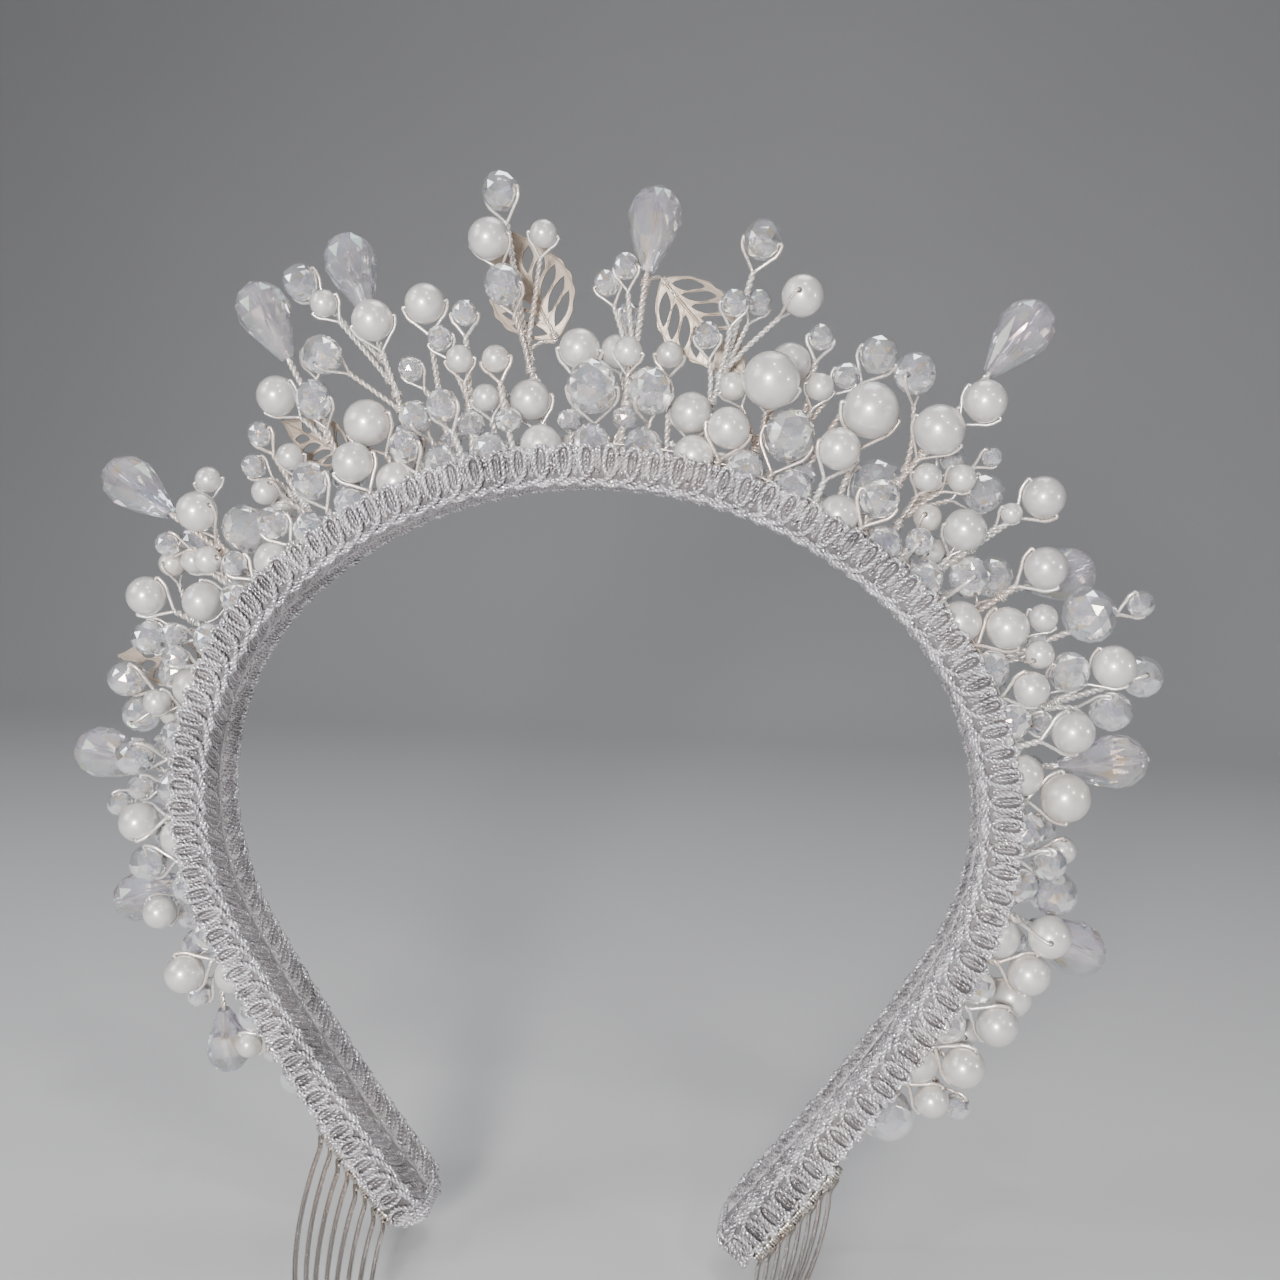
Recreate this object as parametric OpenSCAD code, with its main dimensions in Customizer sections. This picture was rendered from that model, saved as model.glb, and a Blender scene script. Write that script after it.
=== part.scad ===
// Bridal tiara: a springy padded band, trimmed with looped braid, carrying rows and sprays of
// wired pearls, faceted crystals, teardrops and openwork leaves, with a wire comb at each tip.
//
// Frame: X from ear to ear, +Z up through the crown, -Y towards the back of the wearer's head.
// The origin is on the head-side face of the band at its apex.
//
// Every bead has a place on the band: its station (mm along the head-side face from the apex,
// + to the right), its reach (mm outwards from that face) and its depth (mm along Y).

/* [Band outline] */
// Radius of the head-side face over the crown
crown_r = 65; // [60:1:70]
// Half angle of the crown arc
crown_half_angle = 41; // [38:1:44]
// Radius of the head-side face over the temples
temple_r = 41; // [39:1:43]
// Angle of the outward normal where a temple arc ends, measured from straight up
temple_end_angle = 121; // [119:1:123]
// Radius of the nearly straight lower arms
arm_r = 310; // [280:10:360]
// Station of the padding's end, on each arm
arm_end = 152; // [150:1:156]

/* [Band section] */
// Overall width of the trimmed band, front to back
band_w = 12; // [12:0.5:14]
// Reach of the outer face that the beads sit on
outer_face = 3; // [2.8:0.1:3.4]
// Thickness of the braid
braid_t = 0.7; // [0.5:0.1:0.8]
// Reach of the braid's lip along each edge of the band
lip_reach = 5.5; // [4.5:0.1:5.6]
// Thickness of the spring steel strip
strip_t = 0.8; // [0.5:0.1:1]
// Width of the spring steel strip
strip_w = 8; // [6:0.5:9]

/* [Beads] */
// Spacing of the beads in each base row
base_pitch = 6.8; // [6.8:0.1:8]
// Station where the base rows end, on each arm
base_end = 119; // [100:1:120]
// Length of a teardrop for each millimetre of its diameter
drop_slenderness = 1.5; // [1.4:0.05:1.6]
// Diameter of a twisted wire stem
stem_d = 0.8; // [0.7:0.1:0.9]
// Diameter of a twisted wire twig
twig_d = 0.6; // [0.5:0.1:0.7]
// Height at which a twig leaves its stem, as a share of its bead's reach
twig_rise = 0.6; // [0.5:0.05:0.7]

/* [Leaves] */
// Thickness of a leaf
leaf_t = 0.4; // [0.3:0.1:0.6]

/* [Combs] */
// Number of looped teeth in each comb
comb_teeth = 4; // [3:1:4]
// Spacing of the teeth along the band
comb_pitch = 4.4; // [4:0.1:4.4]
// Station of the middle of each comb
comb_station = 143.5; // [140:0.5:143.5]
// Length of a tooth
tooth_len = 34; // [28:1:38]
// Diameter of the tooth wire
tooth_d = 0.8; // [0.6:0.1:0.9]
// Angle by which the teeth lean down from the back of the band
comb_lean = 22; // [15:1:25]
// Angle by which the teeth turn in towards the head
comb_toe_in = 20; // [10:1:20]

/* [Hidden] */
$fn = 48;
gap = 0.05;

PEARL = "pearl";
CRYSTAL = "crystal";
DROP = "drop";

// ---- Places along the band ----

crown_len = crown_r * crown_half_angle * PI / 180;
temple_sweep = temple_end_angle - crown_half_angle;
temple_len = temple_r * temple_sweep * PI / 180;
crown_c = [0, -crown_r];
temple_c = crown_c + (crown_r - temple_r) * [sin(crown_half_angle), cos(crown_half_angle)];
arm_c = temple_c + (temple_r - arm_r) * [sin(temple_end_angle), cos(temple_end_angle)];

function side(station) = station < 0 ? -1 : 1;

// Angle of the outward normal at a station, from straight up
function normal_angle(station) =
    let (s = abs(station))
    s < crown_len ? s / crown_r * 180 / PI
    : s < crown_len + temple_len ? crown_half_angle + (s - crown_len) / temple_r * 180 / PI
    : temple_end_angle + (s - crown_len - temple_len) / arm_r * 180 / PI;

function arc_centre(station) =
    abs(station) < crown_len ? crown_c : abs(station) < crown_len + temple_len ? temple_c : arm_c;

function arc_radius(station) =
    abs(station) < crown_len ? crown_r : abs(station) < crown_len + temple_len ? temple_r : arm_r;

function place(station, reach, depth) =
    let (a = normal_angle(station), c = arc_centre(station), r = arc_radius(station) + reach)
    [side(station) * (c[0] + r * sin(a)), depth, c[1] + r * cos(a)];

arm_end_angle = normal_angle(arm_end);

// ---- Sprays ----
// A spray is rooted in a slot between the beads of the base rows. Slots are half a base pitch
// apart: the odd ones lie between two beads of the rear row, the even ones between two beads of
// the front row. One spray is [slot, root depth, beads]; one bead is
// [kind, diameter, station, reach, depth], and the first bead is the one its stem runs to.

left_low = [
    [-30, 2, [[CRYSTAL, 6, -103, 11, 2]]],
    [-31, -3, [[PEARL, 6, -105, 12, -4]]],
    [-31, -1, [
        [CRYSTAL, 4, -109, 14, 0],
        [DROP, 7, -117, 15, 2]
    ]],
    [-35, -3, [[PEARL, 4, -119, 10, -2]]],
    [-36, 2, [[CRYSTAL, 4, -122, 8, 0]]],
    [-37, -1, [[CRYSTAL, 6, -127, 7, 0]]]
];
left_side = [
    [-20, 2, [[CRYSTAL, 6, -68, 11, 2]]],
    [-21, -1, [
        [CRYSTAL, 6, -70, 17, -1],
        [CRYSTAL, 6, -74, 15, 2],
        [PEARL, 4, -71, 10, -4]
    ]],
    [-22, 2, [[PEARL, 4, -73, 10, 2]]],
    [-23, -1, [
        [CRYSTAL, 6, -78, 12, -4],
        [CRYSTAL, 4, -77, 10, 1]
    ]],
    [-24, 2, [
        [DROP, 8, -79, 18, 1],
        [CRYSTAL, 4, -84, 16, -1],
        [CRYSTAL, 6, -84, 11, 3]
    ]],
    [-24, 4, [[CRYSTAL, 4, -82, 12, -2]]],
    [-25, -3, [[PEARL, 6, -86, 12, -3]]],
    [-26, 2, [[CRYSTAL, 4, -88, 10, 1]]],
    [-27, -3, [[CRYSTAL, 6, -91, 12, -2]]],
    [-28, 4, [
        [DROP, 8, -95, 15, 2],
        [PEARL, 5, -97, 12, -3],
        [CRYSTAL, 4, -99, 10, 1]
    ]]
];
left_upper = [
    [-12, 2, [
        [CRYSTAL, 4, -40, 23, 0],
        [CRYSTAL, 4, -43, 20, 1],
        [PEARL, 4, -38, 17, -2],
        [PEARL, 4, -43, 15, -2]
    ]],
    [-12, 4, [[PEARL, 4, -43, 13, 2]]],
    [-13, -3, [[CRYSTAL, 5, -44, 10, -4]]],
    [-14, 2, [[CRYSTAL, 8, -48, 13, 0]]],
    [-15, -1, [
        [DROP, 8, -53, 29, -1],
        [PEARL, 4, -48, 23, 1],
        [PEARL, 6, -50, 19, -4],
        [CRYSTAL, 6, -54, 19, 4],
        [CRYSTAL, 4, -55, 20, -2]
    ]],
    [-15, -3, [[CRYSTAL, 4, -51, 9.5, -4]]],
    [-16, 2, [
        [PEARL, 4, -55, 16, 0],
        [PEARL, 4, -53, 13, -4],
        [PEARL, 6, -58, 11, -1]
    ]],
    [-16, 4, [[PEARL, 4, -53, 11, 2]]],
    [-18, 2, [
        [PEARL, 6, -61, 19, -1],
        [PEARL, 4, -57, 19, 1],
        [CRYSTAL, 6, -65, 16, 0]
    ]],
    [-18, 4, [[CRYSTAL, 4, -63, 12, -2]]],
    [-19, -3, [[CRYSTAL, 4, -65, 9.5, -4]]]
];
left_crown = [
    [-4, 4, [[PEARL, 4, -13, 14, -2]]],
    [-5, -1, [
        [CRYSTAL, 4, -14, 27, 0],
        [CRYSTAL, 4, -17, 24, -1],
        [PEARL, 4, -15, 20, -3],
        [CRYSTAL, 5, -16, 11, -0.5]
    ]],
    [-5, -3, [[CRYSTAL, 5, -18, 14, -4]]],
    [-6, 2, [
        [PEARL, 6, -18, 30, 1],
        [CRYSTAL, 4, -21, 21, -1],
        [CRYSTAL, 4, -19.5, 9.5, 2]
    ]],
    [-6, 4, [[CRYSTAL, 5, -22, 14, -2]]],
    [-7, -1, [
        [DROP, 8, -24, 38, 2],
        [PEARL, 6, -23, 29, -3],
        [PEARL, 4, -27, 34, -3],
        [CRYSTAL, 6, -29, 40, 2],
        [CRYSTAL, 6, -29, 27, -4]
    ]],
    [-7, -3, [[CRYSTAL, 5, -24, 10, -4]]],
    [-8, 4, [[CRYSTAL, 6, -25, 12, 3]]],
    [-8, 2, [[PEARL, 7, -28, 16, -1]]],
    [-9, -3, [[PEARL, 6, -31, 11, -4]]],
    [-10, 2, [
        [DROP, 8, -33, 36, -1],
        [PEARL, 4, -31, 29, 1],
        [CRYSTAL, 6, -32, 22, -3],
        [PEARL, 6, -36, 26, -1],
        [CRYSTAL, 6, -33.5, 11, 1.5]
    ]],
    [-11, -3, [[CRYSTAL, 6, -37, 12, -3]]]
];
centre = [
    [-3, -3, [
        [PEARL, 4, -11, 19, -3],
        [CRYSTAL, 4, -10.5, 10, -3]
    ]],
    [-3, -1, [[CRYSTAL, 4, -12, 14, 2]]],
    [-2, 2, [[PEARL, 6, -8, 13, 0]]],
    [-2, 4, [
        [CRYSTAL, 6, -9, 44, 2],
        [PEARL, 6, -10, 36, -3],
        [PEARL, 4, -5, 36, -2],
        [CRYSTAL, 6, -9, 29, -4]
    ]],
    [-1, -1, [
        [PEARL, 6, -2, 20, 1],
        [CRYSTAL, 4, -3, 9.5, -0.5]
    ]],
    [0, 4, [[CRYSTAL, 8, 0, 14, -3]]],
    [1, -1, [
        [DROP, 8, 5, 37, 0],
        [PEARL, 5, 2, 20, 3],
        [PEARL, 4, 4, 19, -4],
        [CRYSTAL, 4, 3, 25, 2],
        [CRYSTAL, 4, 1, 29, -1],
        [CRYSTAL, 4, 3, 31, -3],
        [CRYSTAL, 4, 4, 10, -1]
    ]],
    [3, -1, [[PEARL, 4, 8, 20, 2]]],
    [2, 4, [[CRYSTAL, 7, 7, 14, -3]]],
    [4, 4, [[PEARL, 6, 12, 12, -1]]]
];
right_crown = [
    [4, 2, [
        [CRYSTAL, 6, 15, 38, 0],
        [CRYSTAL, 4, 12, 23, -2],
        [CRYSTAL, 4, 14, 28, -3],
        [CRYSTAL, 4, 16, 30, 3],
        [PEARL, 6, 20, 32, 0]
    ]],
    [5, -3, [[PEARL, 6, 17, 11, -3]]],
    [6, 4, [
        [PEARL, 6, 21, 23, 3],
        [PEARL, 8, 20, 19, -4],
        [PEARL, 4, 16, 17, -1],
        [CRYSTAL, 4, 20.5, 8, 4]
    ]],
    [7, -1, [[CRYSTAL, 8, 24, 13, -1]]],
    [8, 4, [
        [CRYSTAL, 4, 23, 28, 3],
        [PEARL, 4, 25, 21, 0],
        [CRYSTAL, 4, 27, 24, 1]
    ]],
    [8, 2, [
        [CRYSTAL, 6, 29, 29, 3],
        [CRYSTAL, 4, 27.5, 9, 2]
    ]],
    [9, -3, [[PEARL, 6, 30, 14, -3]]],
    [10, 2, [[PEARL, 8, 31, 21, -1]]],
    [11, -1, [
        [DROP, 8, 39, 40, 1],
        [CRYSTAL, 6, 33, 28, -3],
        [PEARL, 7, 38, 23, -5],
        [PEARL, 6, 40, 30, -3]
    ]],
    [11, -3, [[CRYSTAL, 6, 37, 11, -4]]]
];
right_upper = [
    [10, 4, [[CRYSTAL, 8, 36, 13, 4]]],
    [12, 2, [
        [CRYSTAL, 4, 41, 22, 2],
        [PEARL, 4, 40, 17, -4],
        [PEARL, 4, 43, 20, -2],
        [CRYSTAL, 3, 44, 25, -1],
        [CRYSTAL, 6, 46, 21, 2]
    ]],
    [13, -1, [[PEARL, 4, 43, 13, -1]]],
    [13, -3, [[CRYSTAL, 4, 44, 9.5, -4]]],
    [14, 2, [
        [PEARL, 6, 50, 26, 0],
        [PEARL, 6, 47, 15, -2],
        [CRYSTAL, 6, 48, 13, 5],
        [PEARL, 3, 49, 21, -2]
    ]],
    [14, 4, [[PEARL, 4, 46, 10, 1]]],
    [15, -3, [[CRYSTAL, 6, 51, 11, -2]]],
    [16, 2, [
        [PEARL, 6, 55, 20, -1],
        [DROP, 8, 57, 22, 7],
        [CRYSTAL, 6, 53, 14, 3]
    ]],
    [17, -3, [[PEARL, 6, 58, 11, -2]]],
    [18, 2, [
        [CRYSTAL, 4, 62, 29, 1],
        [CRYSTAL, 8, 61, 22, 1],
        [PEARL, 4, 59, 16, -1],
        [PEARL, 4, 62, 13, -3],
        [CRYSTAL, 4, 61.5, 14, 1.5]
    ]]
];
right_side = [
    [19, -3, [[PEARL, 5, 65, 10, -4]]],
    [20, 2, [
        [CRYSTAL, 6, 68, 26, 3],
        [CRYSTAL, 6, 65, 16, -1],
        [PEARL, 6, 66, 22, -1],
        [CRYSTAL, 6, 70, 20, 0]
    ]],
    [20, 4, [[CRYSTAL, 4, 70, 11, 2]]],
    [21, -3, [[PEARL, 6, 71, 14, -2]]],
    [22, 4, [
        [DROP, 8, 75, 18, 2],
        [CRYSTAL, 4, 75, 8.5, 3.5]
    ]],
    [23, -1, [[PEARL, 7, 78, 12, -1]]],
    [24, 2, [[CRYSTAL, 4, 82, 9.5, 2]]],
    [25, -1, [[PEARL, 4, 84, 12, 0]]],
    [25, -3, [[CRYSTAL, 5, 85, 9.5, -4]]],
    [26, 4, [[CRYSTAL, 7, 89, 12, 1]]]
];
right_low = [
    [27, -1, [[DROP, 8, 94, 16, 2]]],
    [27, -3, [[PEARL, 6, 93, 12, -4]]],
    [28, 2, [[CRYSTAL, 4, 96, 9.5, 2]]],
    [29, -3, [[PEARL, 6, 98, 12, -2]]],
    [30, 4, [[PEARL, 6, 102, 13, 3]]],
    [31, -3, [[PEARL, 6, 105, 12, -2]]],
    [32, 2, [[PEARL, 4, 109, 10, 1]]],
    [33, -1, [[CRYSTAL, 4, 114, 13, 1]]],
    [33, -3, [[PEARL, 6, 112, 11, -4]]],
    [34, 2, [[CRYSTAL, 4, 118, 15, 0]]],
    [35, -3, [[PEARL, 5, 119, 11, -2]]],
    [37, -1, [[CRYSTAL, 8, 125, 8, 0]]]
];

REGIONS = [
    ["left_low", left_low],
    ["left_side", left_side],
    ["left_upper", left_upper],
    ["left_crown", left_crown],
    ["centre", centre],
    ["right_crown", right_crown],
    ["right_upper", right_upper],
    ["right_side", right_side],
    ["right_low", right_low]
];
KINDS = [PEARL, CRYSTAL, DROP];

function has_kind(region, kind) =
    len([for (spray = region[1], bead = spray[2]) if (bead[0] == kind) 1]) > 0;

region_nodes = [
    for (region = REGIONS) each concat(
        [str(region[0], "_wires")],
        [for (kind = KINDS) if (has_kind(region, kind)) str(region[0], "_", kind, "s")]
    )
];

// ---- Helpers ----

// Turns +Z to a direction at a place
module aim(at, direction) {
    translate(at)
        rotate([0, acos(direction[2] / norm(direction)), atan2(direction[1], direction[0])])
            children();
}

// Sweeps a section, drawn as [reach, depth], along one arc of the band on the right side
module arc_piece(centre, radius, from, to) {
    translate([centre[0], 0, centre[1]])
        rotate([90, to - 90, 0])
            rotate_extrude(angle = to - from, $fn = 360)
                translate([radius, 0])
                    mirror([0, 1])
                        children();
}

// Sweeps a section along both arms from the apex to a station
module band_sweep(end_angle) {
    for (flip = [0, 1])
        mirror([flip, 0, 0]) {
            arc_piece(crown_c, crown_r, 0, crown_half_angle) children();
            arc_piece(temple_c, temple_r, crown_half_angle, temple_end_angle) children();
            arc_piece(arm_c, arm_r, temple_end_angle, end_angle) children();
        }
}

// Sweeps a section along the lower arm between two stations, on one side
module arm_sweep(hand, from, to) {
    mirror([hand < 0 ? 1 : 0, 0, 0])
        arc_piece(arm_c, arm_r, normal_angle(from), normal_angle(to)) children();
}

// ---- Band ----

module band_strip() {
    color("lightsteelblue")
        band_sweep(arm_end_angle)
            translate([outer_face / 2 - strip_t / 2 + braid_t / 2, -strip_w / 2])
                square([strip_t, strip_w]);
}

module band_padding() {
    padding_w = band_w - 2 * braid_t;
    color("gainsboro")
        band_sweep(arm_end_angle)
            difference() {
                translate([braid_t, -padding_w / 2])
                    square([outer_face - braid_t, padding_w]);
                translate([outer_face / 2 - strip_t / 2 + braid_t / 2, -strip_w / 2])
                    square([strip_t, strip_w]);
            }
}

// The braid folds over one edge: a lip up the edge and a leg along the head-side face
module braid_section() {
    translate([0, -band_w / 2])
        square([lip_reach, braid_t]);
    translate([0, -band_w / 2])
        square([braid_t, band_w / 2 - 0.1]);
}

module braid_rear() {
    color("silver")
        band_sweep(arm_end_angle)
            braid_section();
}

module braid_front() {
    color("silver")
        band_sweep(arm_end_angle)
            mirror([0, 1])
                braid_section();
}

// Ribbon-wrapped cap that closes the band at a tip
module tip_cap(hand) {
    cap_len = 3;
    color("silver")
        arm_sweep(hand, arm_end + gap, arm_end + cap_len)
            union() {
                translate([0, -band_w / 2 + 1])
                    square([lip_reach, band_w - 2]);
                translate([1, -band_w / 2])
                    square([lip_reach - 2, band_w]);
                for (reach = [1, lip_reach - 1], depth = [-1, 1])
                    translate([reach, depth * (band_w / 2 - 1)])
                        circle(r = 1);
            }
}

// ---- Combs ----

rail_d = 1.2;
winding_d = 2;
rail_reach = 6.4;
rail_depth = -3.6;
comb_len = (comb_teeth - 1) * comb_pitch + 3;
prong_spread = 2;

function tooth_station(i) = comb_station + (i - (comb_teeth - 1) / 2) * comb_pitch;

// Folded ribbon that the comb is sewn to
module comb_pad(hand) {
    color("gainsboro")
        arm_sweep(hand, comb_station - comb_len / 2, comb_station + comb_len / 2)
            translate([outer_face, -band_w / 2 + braid_t + gap])
                square([rail_reach - winding_d / 2 - outer_face, 5]);
}

module comb_rail(hand) {
    color("silver")
        arm_sweep(hand, comb_station - comb_len / 2, comb_station + comb_len / 2)
            translate([rail_reach, rail_depth])
                circle(d = rail_d);
}

// One tooth: two prongs bowed outwards, joined by a round turn at the tip.
// Local X points outwards, local Z along the tooth and local Y along the rail.
module tooth() {
    bow = 28;
    bow_r = tooth_len / 2 / sin(bow / 2);
    for (k = [-1, 1])
        translate([-bow_r * cos(bow / 2), k * prong_spread / 2, tooth_len / 2])
            rotate([90, 0, 0])
                rotate([0, 0, -bow / 2])
                    rotate_extrude(angle = bow, $fn = 180)
                        translate([bow_r, 0])
                            circle(d = tooth_d, $fn = 24);
    translate([0, 0, tooth_len])
        rotate([0, -bow / 2, 0])
            translate([0, 0, gap])
                rotate([90, 0, 90])
                    rotate_extrude(angle = 180)
                        translate([prong_spread / 2, 0])
                            circle(d = tooth_d, $fn = 24);
}

module comb_teeth(hand) {
    root = rail_d / 2 + gap;
    a = normal_angle(comb_station);
    color("silver")
        mirror([hand < 0 ? 1 : 0, 0, 0])
            for (i = [0 : comb_teeth - 1])
                translate(place(tooth_station(i), rail_reach, rail_depth))
                    multmatrix(tooth_frame(a))
                        translate([0, 0, root])
                            tooth();
}

// Axes of a tooth: Z backwards, down and in towards the head, Y along the rail, X outwards
function tooth_frame(a) =
    let (
        back = [0, -cos(comb_lean), -sin(comb_lean)],
        along = [cos(a), 0, -sin(a)],
        out = cross(back, along) / norm(cross(back, along)),
        z = cos(comb_toe_in) * back - sin(comb_toe_in) * out,
        x = cos(comb_toe_in) * out + sin(comb_toe_in) * back,
        y = cross(z, x)
    )
    [[x[0], y[0], z[0], 0], [x[1], y[1], z[1], 0], [x[2], y[2], z[2], 0], [0, 0, 0, 1]];

// Binding wire wound round the rail between the teeth
module comb_winding(hand) {
    clear = prong_spread / 2 + tooth_d / 2 + 0.3;
    color("silver")
        for (i = [0 : comb_teeth - 2])
            arm_sweep(hand, tooth_station(i) + clear, tooth_station(i + 1) - clear)
                translate([rail_reach, rail_depth])
                    difference() {
                        circle(d = winding_d);
                        circle(d = rail_d + 2 * gap);
                    }
}

// ---- Beads ----

module pearl(d) {
    color("ivory")
        sphere(d = d);
}

// A round faceted crystal with a flat at each end of its drilling
module crystal(d) {
    color("lightcyan")
        rotate_extrude()
            polygon([
                [0, -0.42 * d], [0.2 * d, -0.42 * d], [0.4 * d, -0.26 * d], [0.5 * d, -0.07 * d],
                [0.5 * d, 0.07 * d], [0.4 * d, 0.26 * d], [0.2 * d, 0.42 * d], [0, 0.42 * d]
            ]);
}

// A faceted teardrop, its narrow end towards -Z
module drop(d) {
    len = drop_slenderness * d;
    color("aliceblue")
        rotate_extrude()
            polygon([
                [0, -0.5 * len], [0.12 * d, -0.5 * len], [0.3 * d, -0.25 * len],
                [0.46 * d, 0.02 * len], [0.5 * d, 0.16 * len], [0.46 * d, 0.3 * len],
                [0.34 * d, 0.42 * len], [0.15 * d, 0.5 * len], [0, 0.5 * len]
            ]);
}

function bead_centre(bead) = place(bead[2], bead[3], bead[4]);

// How far from a bead's centre its wire ends
function wire_stop(bead) = (bead[0] == DROP ? drop_slenderness : 1) * bead[1] / 2 + gap;

function root(spray) = place(spray[0] * base_pitch / 2, outer_face, spray[1]);

// The point on a spray's stem, which runs to its first bead, that another bead's twig leaves
function branch(spray, bead) =
    let (
        head = spray[2][0],
        t = (twig_rise * bead[3] - outer_face) / (head[3] - outer_face)
    )
    root(spray) + min(max(t, 0.1), 0.8) * (bead_centre(head) - root(spray));

// Where a bead's own wire comes from
function wire_from(spray, i) = i == 0 ? root(spray) : branch(spray, spray[2][i]);

// How far up a twig starts, so that its end lies against the side of the stem
function twig_start(spray, i) =
    let (
        along = bead_centre(spray[2][0]) - root(spray),
        out = bead_centre(spray[2][i]) - wire_from(spray, i),
        c = along * out / norm(along) / norm(out)
    )
    (stem_d / 2 + gap + twig_d / 2 * abs(c)) / sqrt(1 - c * c);

// A wire is [start, end, diameter]
function spray_wire(spray, i) =
    let (
        from = wire_from(spray, i),
        to = bead_centre(spray[2][i]),
        u = (to - from) / norm(to - from)
    )
    [
        from + (i == 0 ? gap : twig_start(spray, i)) * u,
        to - wire_stop(spray[2][i]) * u,
        i == 0 ? stem_d : twig_d
    ];

// A bead that its spray's own stem runs through needs no twig
function on_stem(spray, i) =
    i > 0 && wire_distance(spray_wire(spray, 0), bead_centre(spray[2][i])) < spray[2][i][1] / 5;

function region_wire_list(region) = [
    for (spray = region[1], i = [0 : len(spray[2]) - 1])
        if (!on_stem(spray, i)) spray_wire(spray, i)
];

// Distance from a point to a wire's centre line
function wire_distance(wire, p) =
    let (
        v = wire[1] - wire[0],
        t = (p - wire[0]) * v / (v * v)
    )
    norm(p - wire[0] - min(max(t, 0), 1) * v);

module bead(bead, from) {
    at = bead_centre(bead);
    along = at - from;
    if (bead[0] == PEARL)
        translate(at)
            pearl(bead[1]);
    if (bead[0] == CRYSTAL)
        aim(at, cross(along, [0, 1, 0.3]))
            crystal(bead[1]);
    if (bead[0] == DROP)
        aim(at, along)
            drop(bead[1]);
}

// The beads of one kind in a region. A bead that its spray's stem runs through is drilled.
module region_beads(region, kind) {
    for (spray = region[1], i = [0 : len(spray[2]) - 1])
        if (spray[2][i][0] == kind)
            difference() {
                bead(spray[2][i], wire_from(spray, i));
                if (on_stem(spray, i))
                    drilling(spray_wire(spray, 0));
            }
}

module drilling(stem) {
    aim(stem[0], stem[1] - stem[0])
        cylinder(h = norm(stem[1] - stem[0]), d = stem_d + 0.2, $fn = 24);
}

// Twisted wires of a region: each spray's stem to its first bead, and twigs to its other beads
module region_wires(region) {
    color("rosybrown")
        for (w = region_wire_list(region)) {
            v = w[1] - w[0];
            aim(w[0], v)
                cylinder(h = norm(v), d = w[2], $fn = 24);
        }
}

// ---- Base rows ----

base_count = floor(2 * base_end / base_pitch);
function base_station(i) = (i - (base_count - 1) / 2) * base_pitch;
function base_kind(i) = i % 3 == 1 ? PEARL : CRYSTAL;

// The rear row nests against the rear lip, the front row half a pitch on against the front lip
module base_row(kind, d, hand, shift) {
    for (i = [0 : base_count - 1])
        if (base_kind(i) == kind)
            aim(place(base_station(i) + shift, outer_face + d / 2 + gap,
                      hand * (band_w / 2 - braid_t - d / 2 - 0.1)), [0, 1, 0])
                children();
}

module base_pearls_rear() {
    base_row(PEARL, 6, -1, 0) pearl(6);
}

module base_crystals_rear() {
    base_row(CRYSTAL, 6, -1, 0) crystal(6);
}

module base_pearls_front() {
    base_row(PEARL, 5, 1, base_pitch / 2) pearl(5);
}

module base_crystals_front() {
    base_row(CRYSTAL, 5, 1, base_pitch / 2) crystal(5);
}

// ---- Leaves ----

// Half the width of a leaf at a fraction of its length
function leaf_half(t) = sin(180 * pow(t, 0.8)) * (1 - 0.25 * t);

// An openwork leaf standing along +Z from its stalk, facing Y
module leaf(length, width) {
    steps = 16;
    veins = 5;
    right = [for (i = [0 : steps]) [leaf_half(i / steps) * width / 2, i / steps * length]];
    left = [for (i = [steps - 1 : -1 : 1]) [-right[i][0], right[i][1]]];
    color("tan")
        rotate([90, 0, 0])
            linear_extrude(height = leaf_t, center = true)
                difference() {
                    polygon(concat(right, left));
                    for (hand = [-1, 1], k = [1 : veins])
                        leaf_slot(hand, length, width, k / (veins + 1.6));
                }
}

// A pointed slot between two veins, from beside the midrib up towards the edge
module leaf_slot(hand, length, width, t) {
    reach = leaf_half(min(t + 0.1, 0.97)) * width / 2;
    polygon([
        [hand * 0.06 * width, t * length],
        [hand * 0.75 * reach, (t + 0.02) * length],
        [hand * 0.86 * reach, (t + 0.09) * length],
        [hand * 0.45 * reach, (t + 0.08) * length],
        [hand * 0.06 * width, (t + 0.05) * length]
    ]);
}

// Holds a leaf between the places of its stalk and its tip
module leaf_between(stalk, tip, width) {
    from = place(stalk[0], stalk[1], stalk[2]);
    to = place(tip[0], tip[1], tip[2]);
    v = to - from;
    translate(from)
        rotate([0, atan2(v[0], v[2]), 0])
            leaf(norm([v[0], v[2]]), width);
}

module leaf_left() {
    leaf_between([-5, 22, 4], [-10, 40, 4], 14);
}

module leaf_right() {
    leaf_between([6, 31, 4], [17, 19, 4], 12);
}

module leaf_small() {
    leaf_between([-33, 14, 4], [-38, 24, 4], 8);
}

module leaf_side() {
    leaf_between([-66, 8, 4], [-69, 22, 4], 9);
}

// ---- Assembly ----

band_strip();
band_padding();
braid_rear();
braid_front();
tip_cap(-1);  // tip_cap_left
tip_cap(1);  // tip_cap_right
comb_pad(-1);  // comb_pad_left
comb_pad(1);  // comb_pad_right
comb_rail(-1);  // comb_rail_left
comb_rail(1);  // comb_rail_right
comb_teeth(-1);  // comb_teeth_left
comb_teeth(1);  // comb_teeth_right
comb_winding(-1);  // comb_winding_left
comb_winding(1);  // comb_winding_right
base_pearls_rear();
base_crystals_rear();
base_pearls_front();
base_crystals_front();
leaf_left();
leaf_right();
leaf_small();
leaf_side();
for (region = REGIONS) {
    region_wires(region);
    for (kind = KINDS)
        region_beads(region, kind);
}
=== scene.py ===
import math

import bmesh
import bpy
import numpy as np
from mathutils import Matrix, Vector


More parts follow.
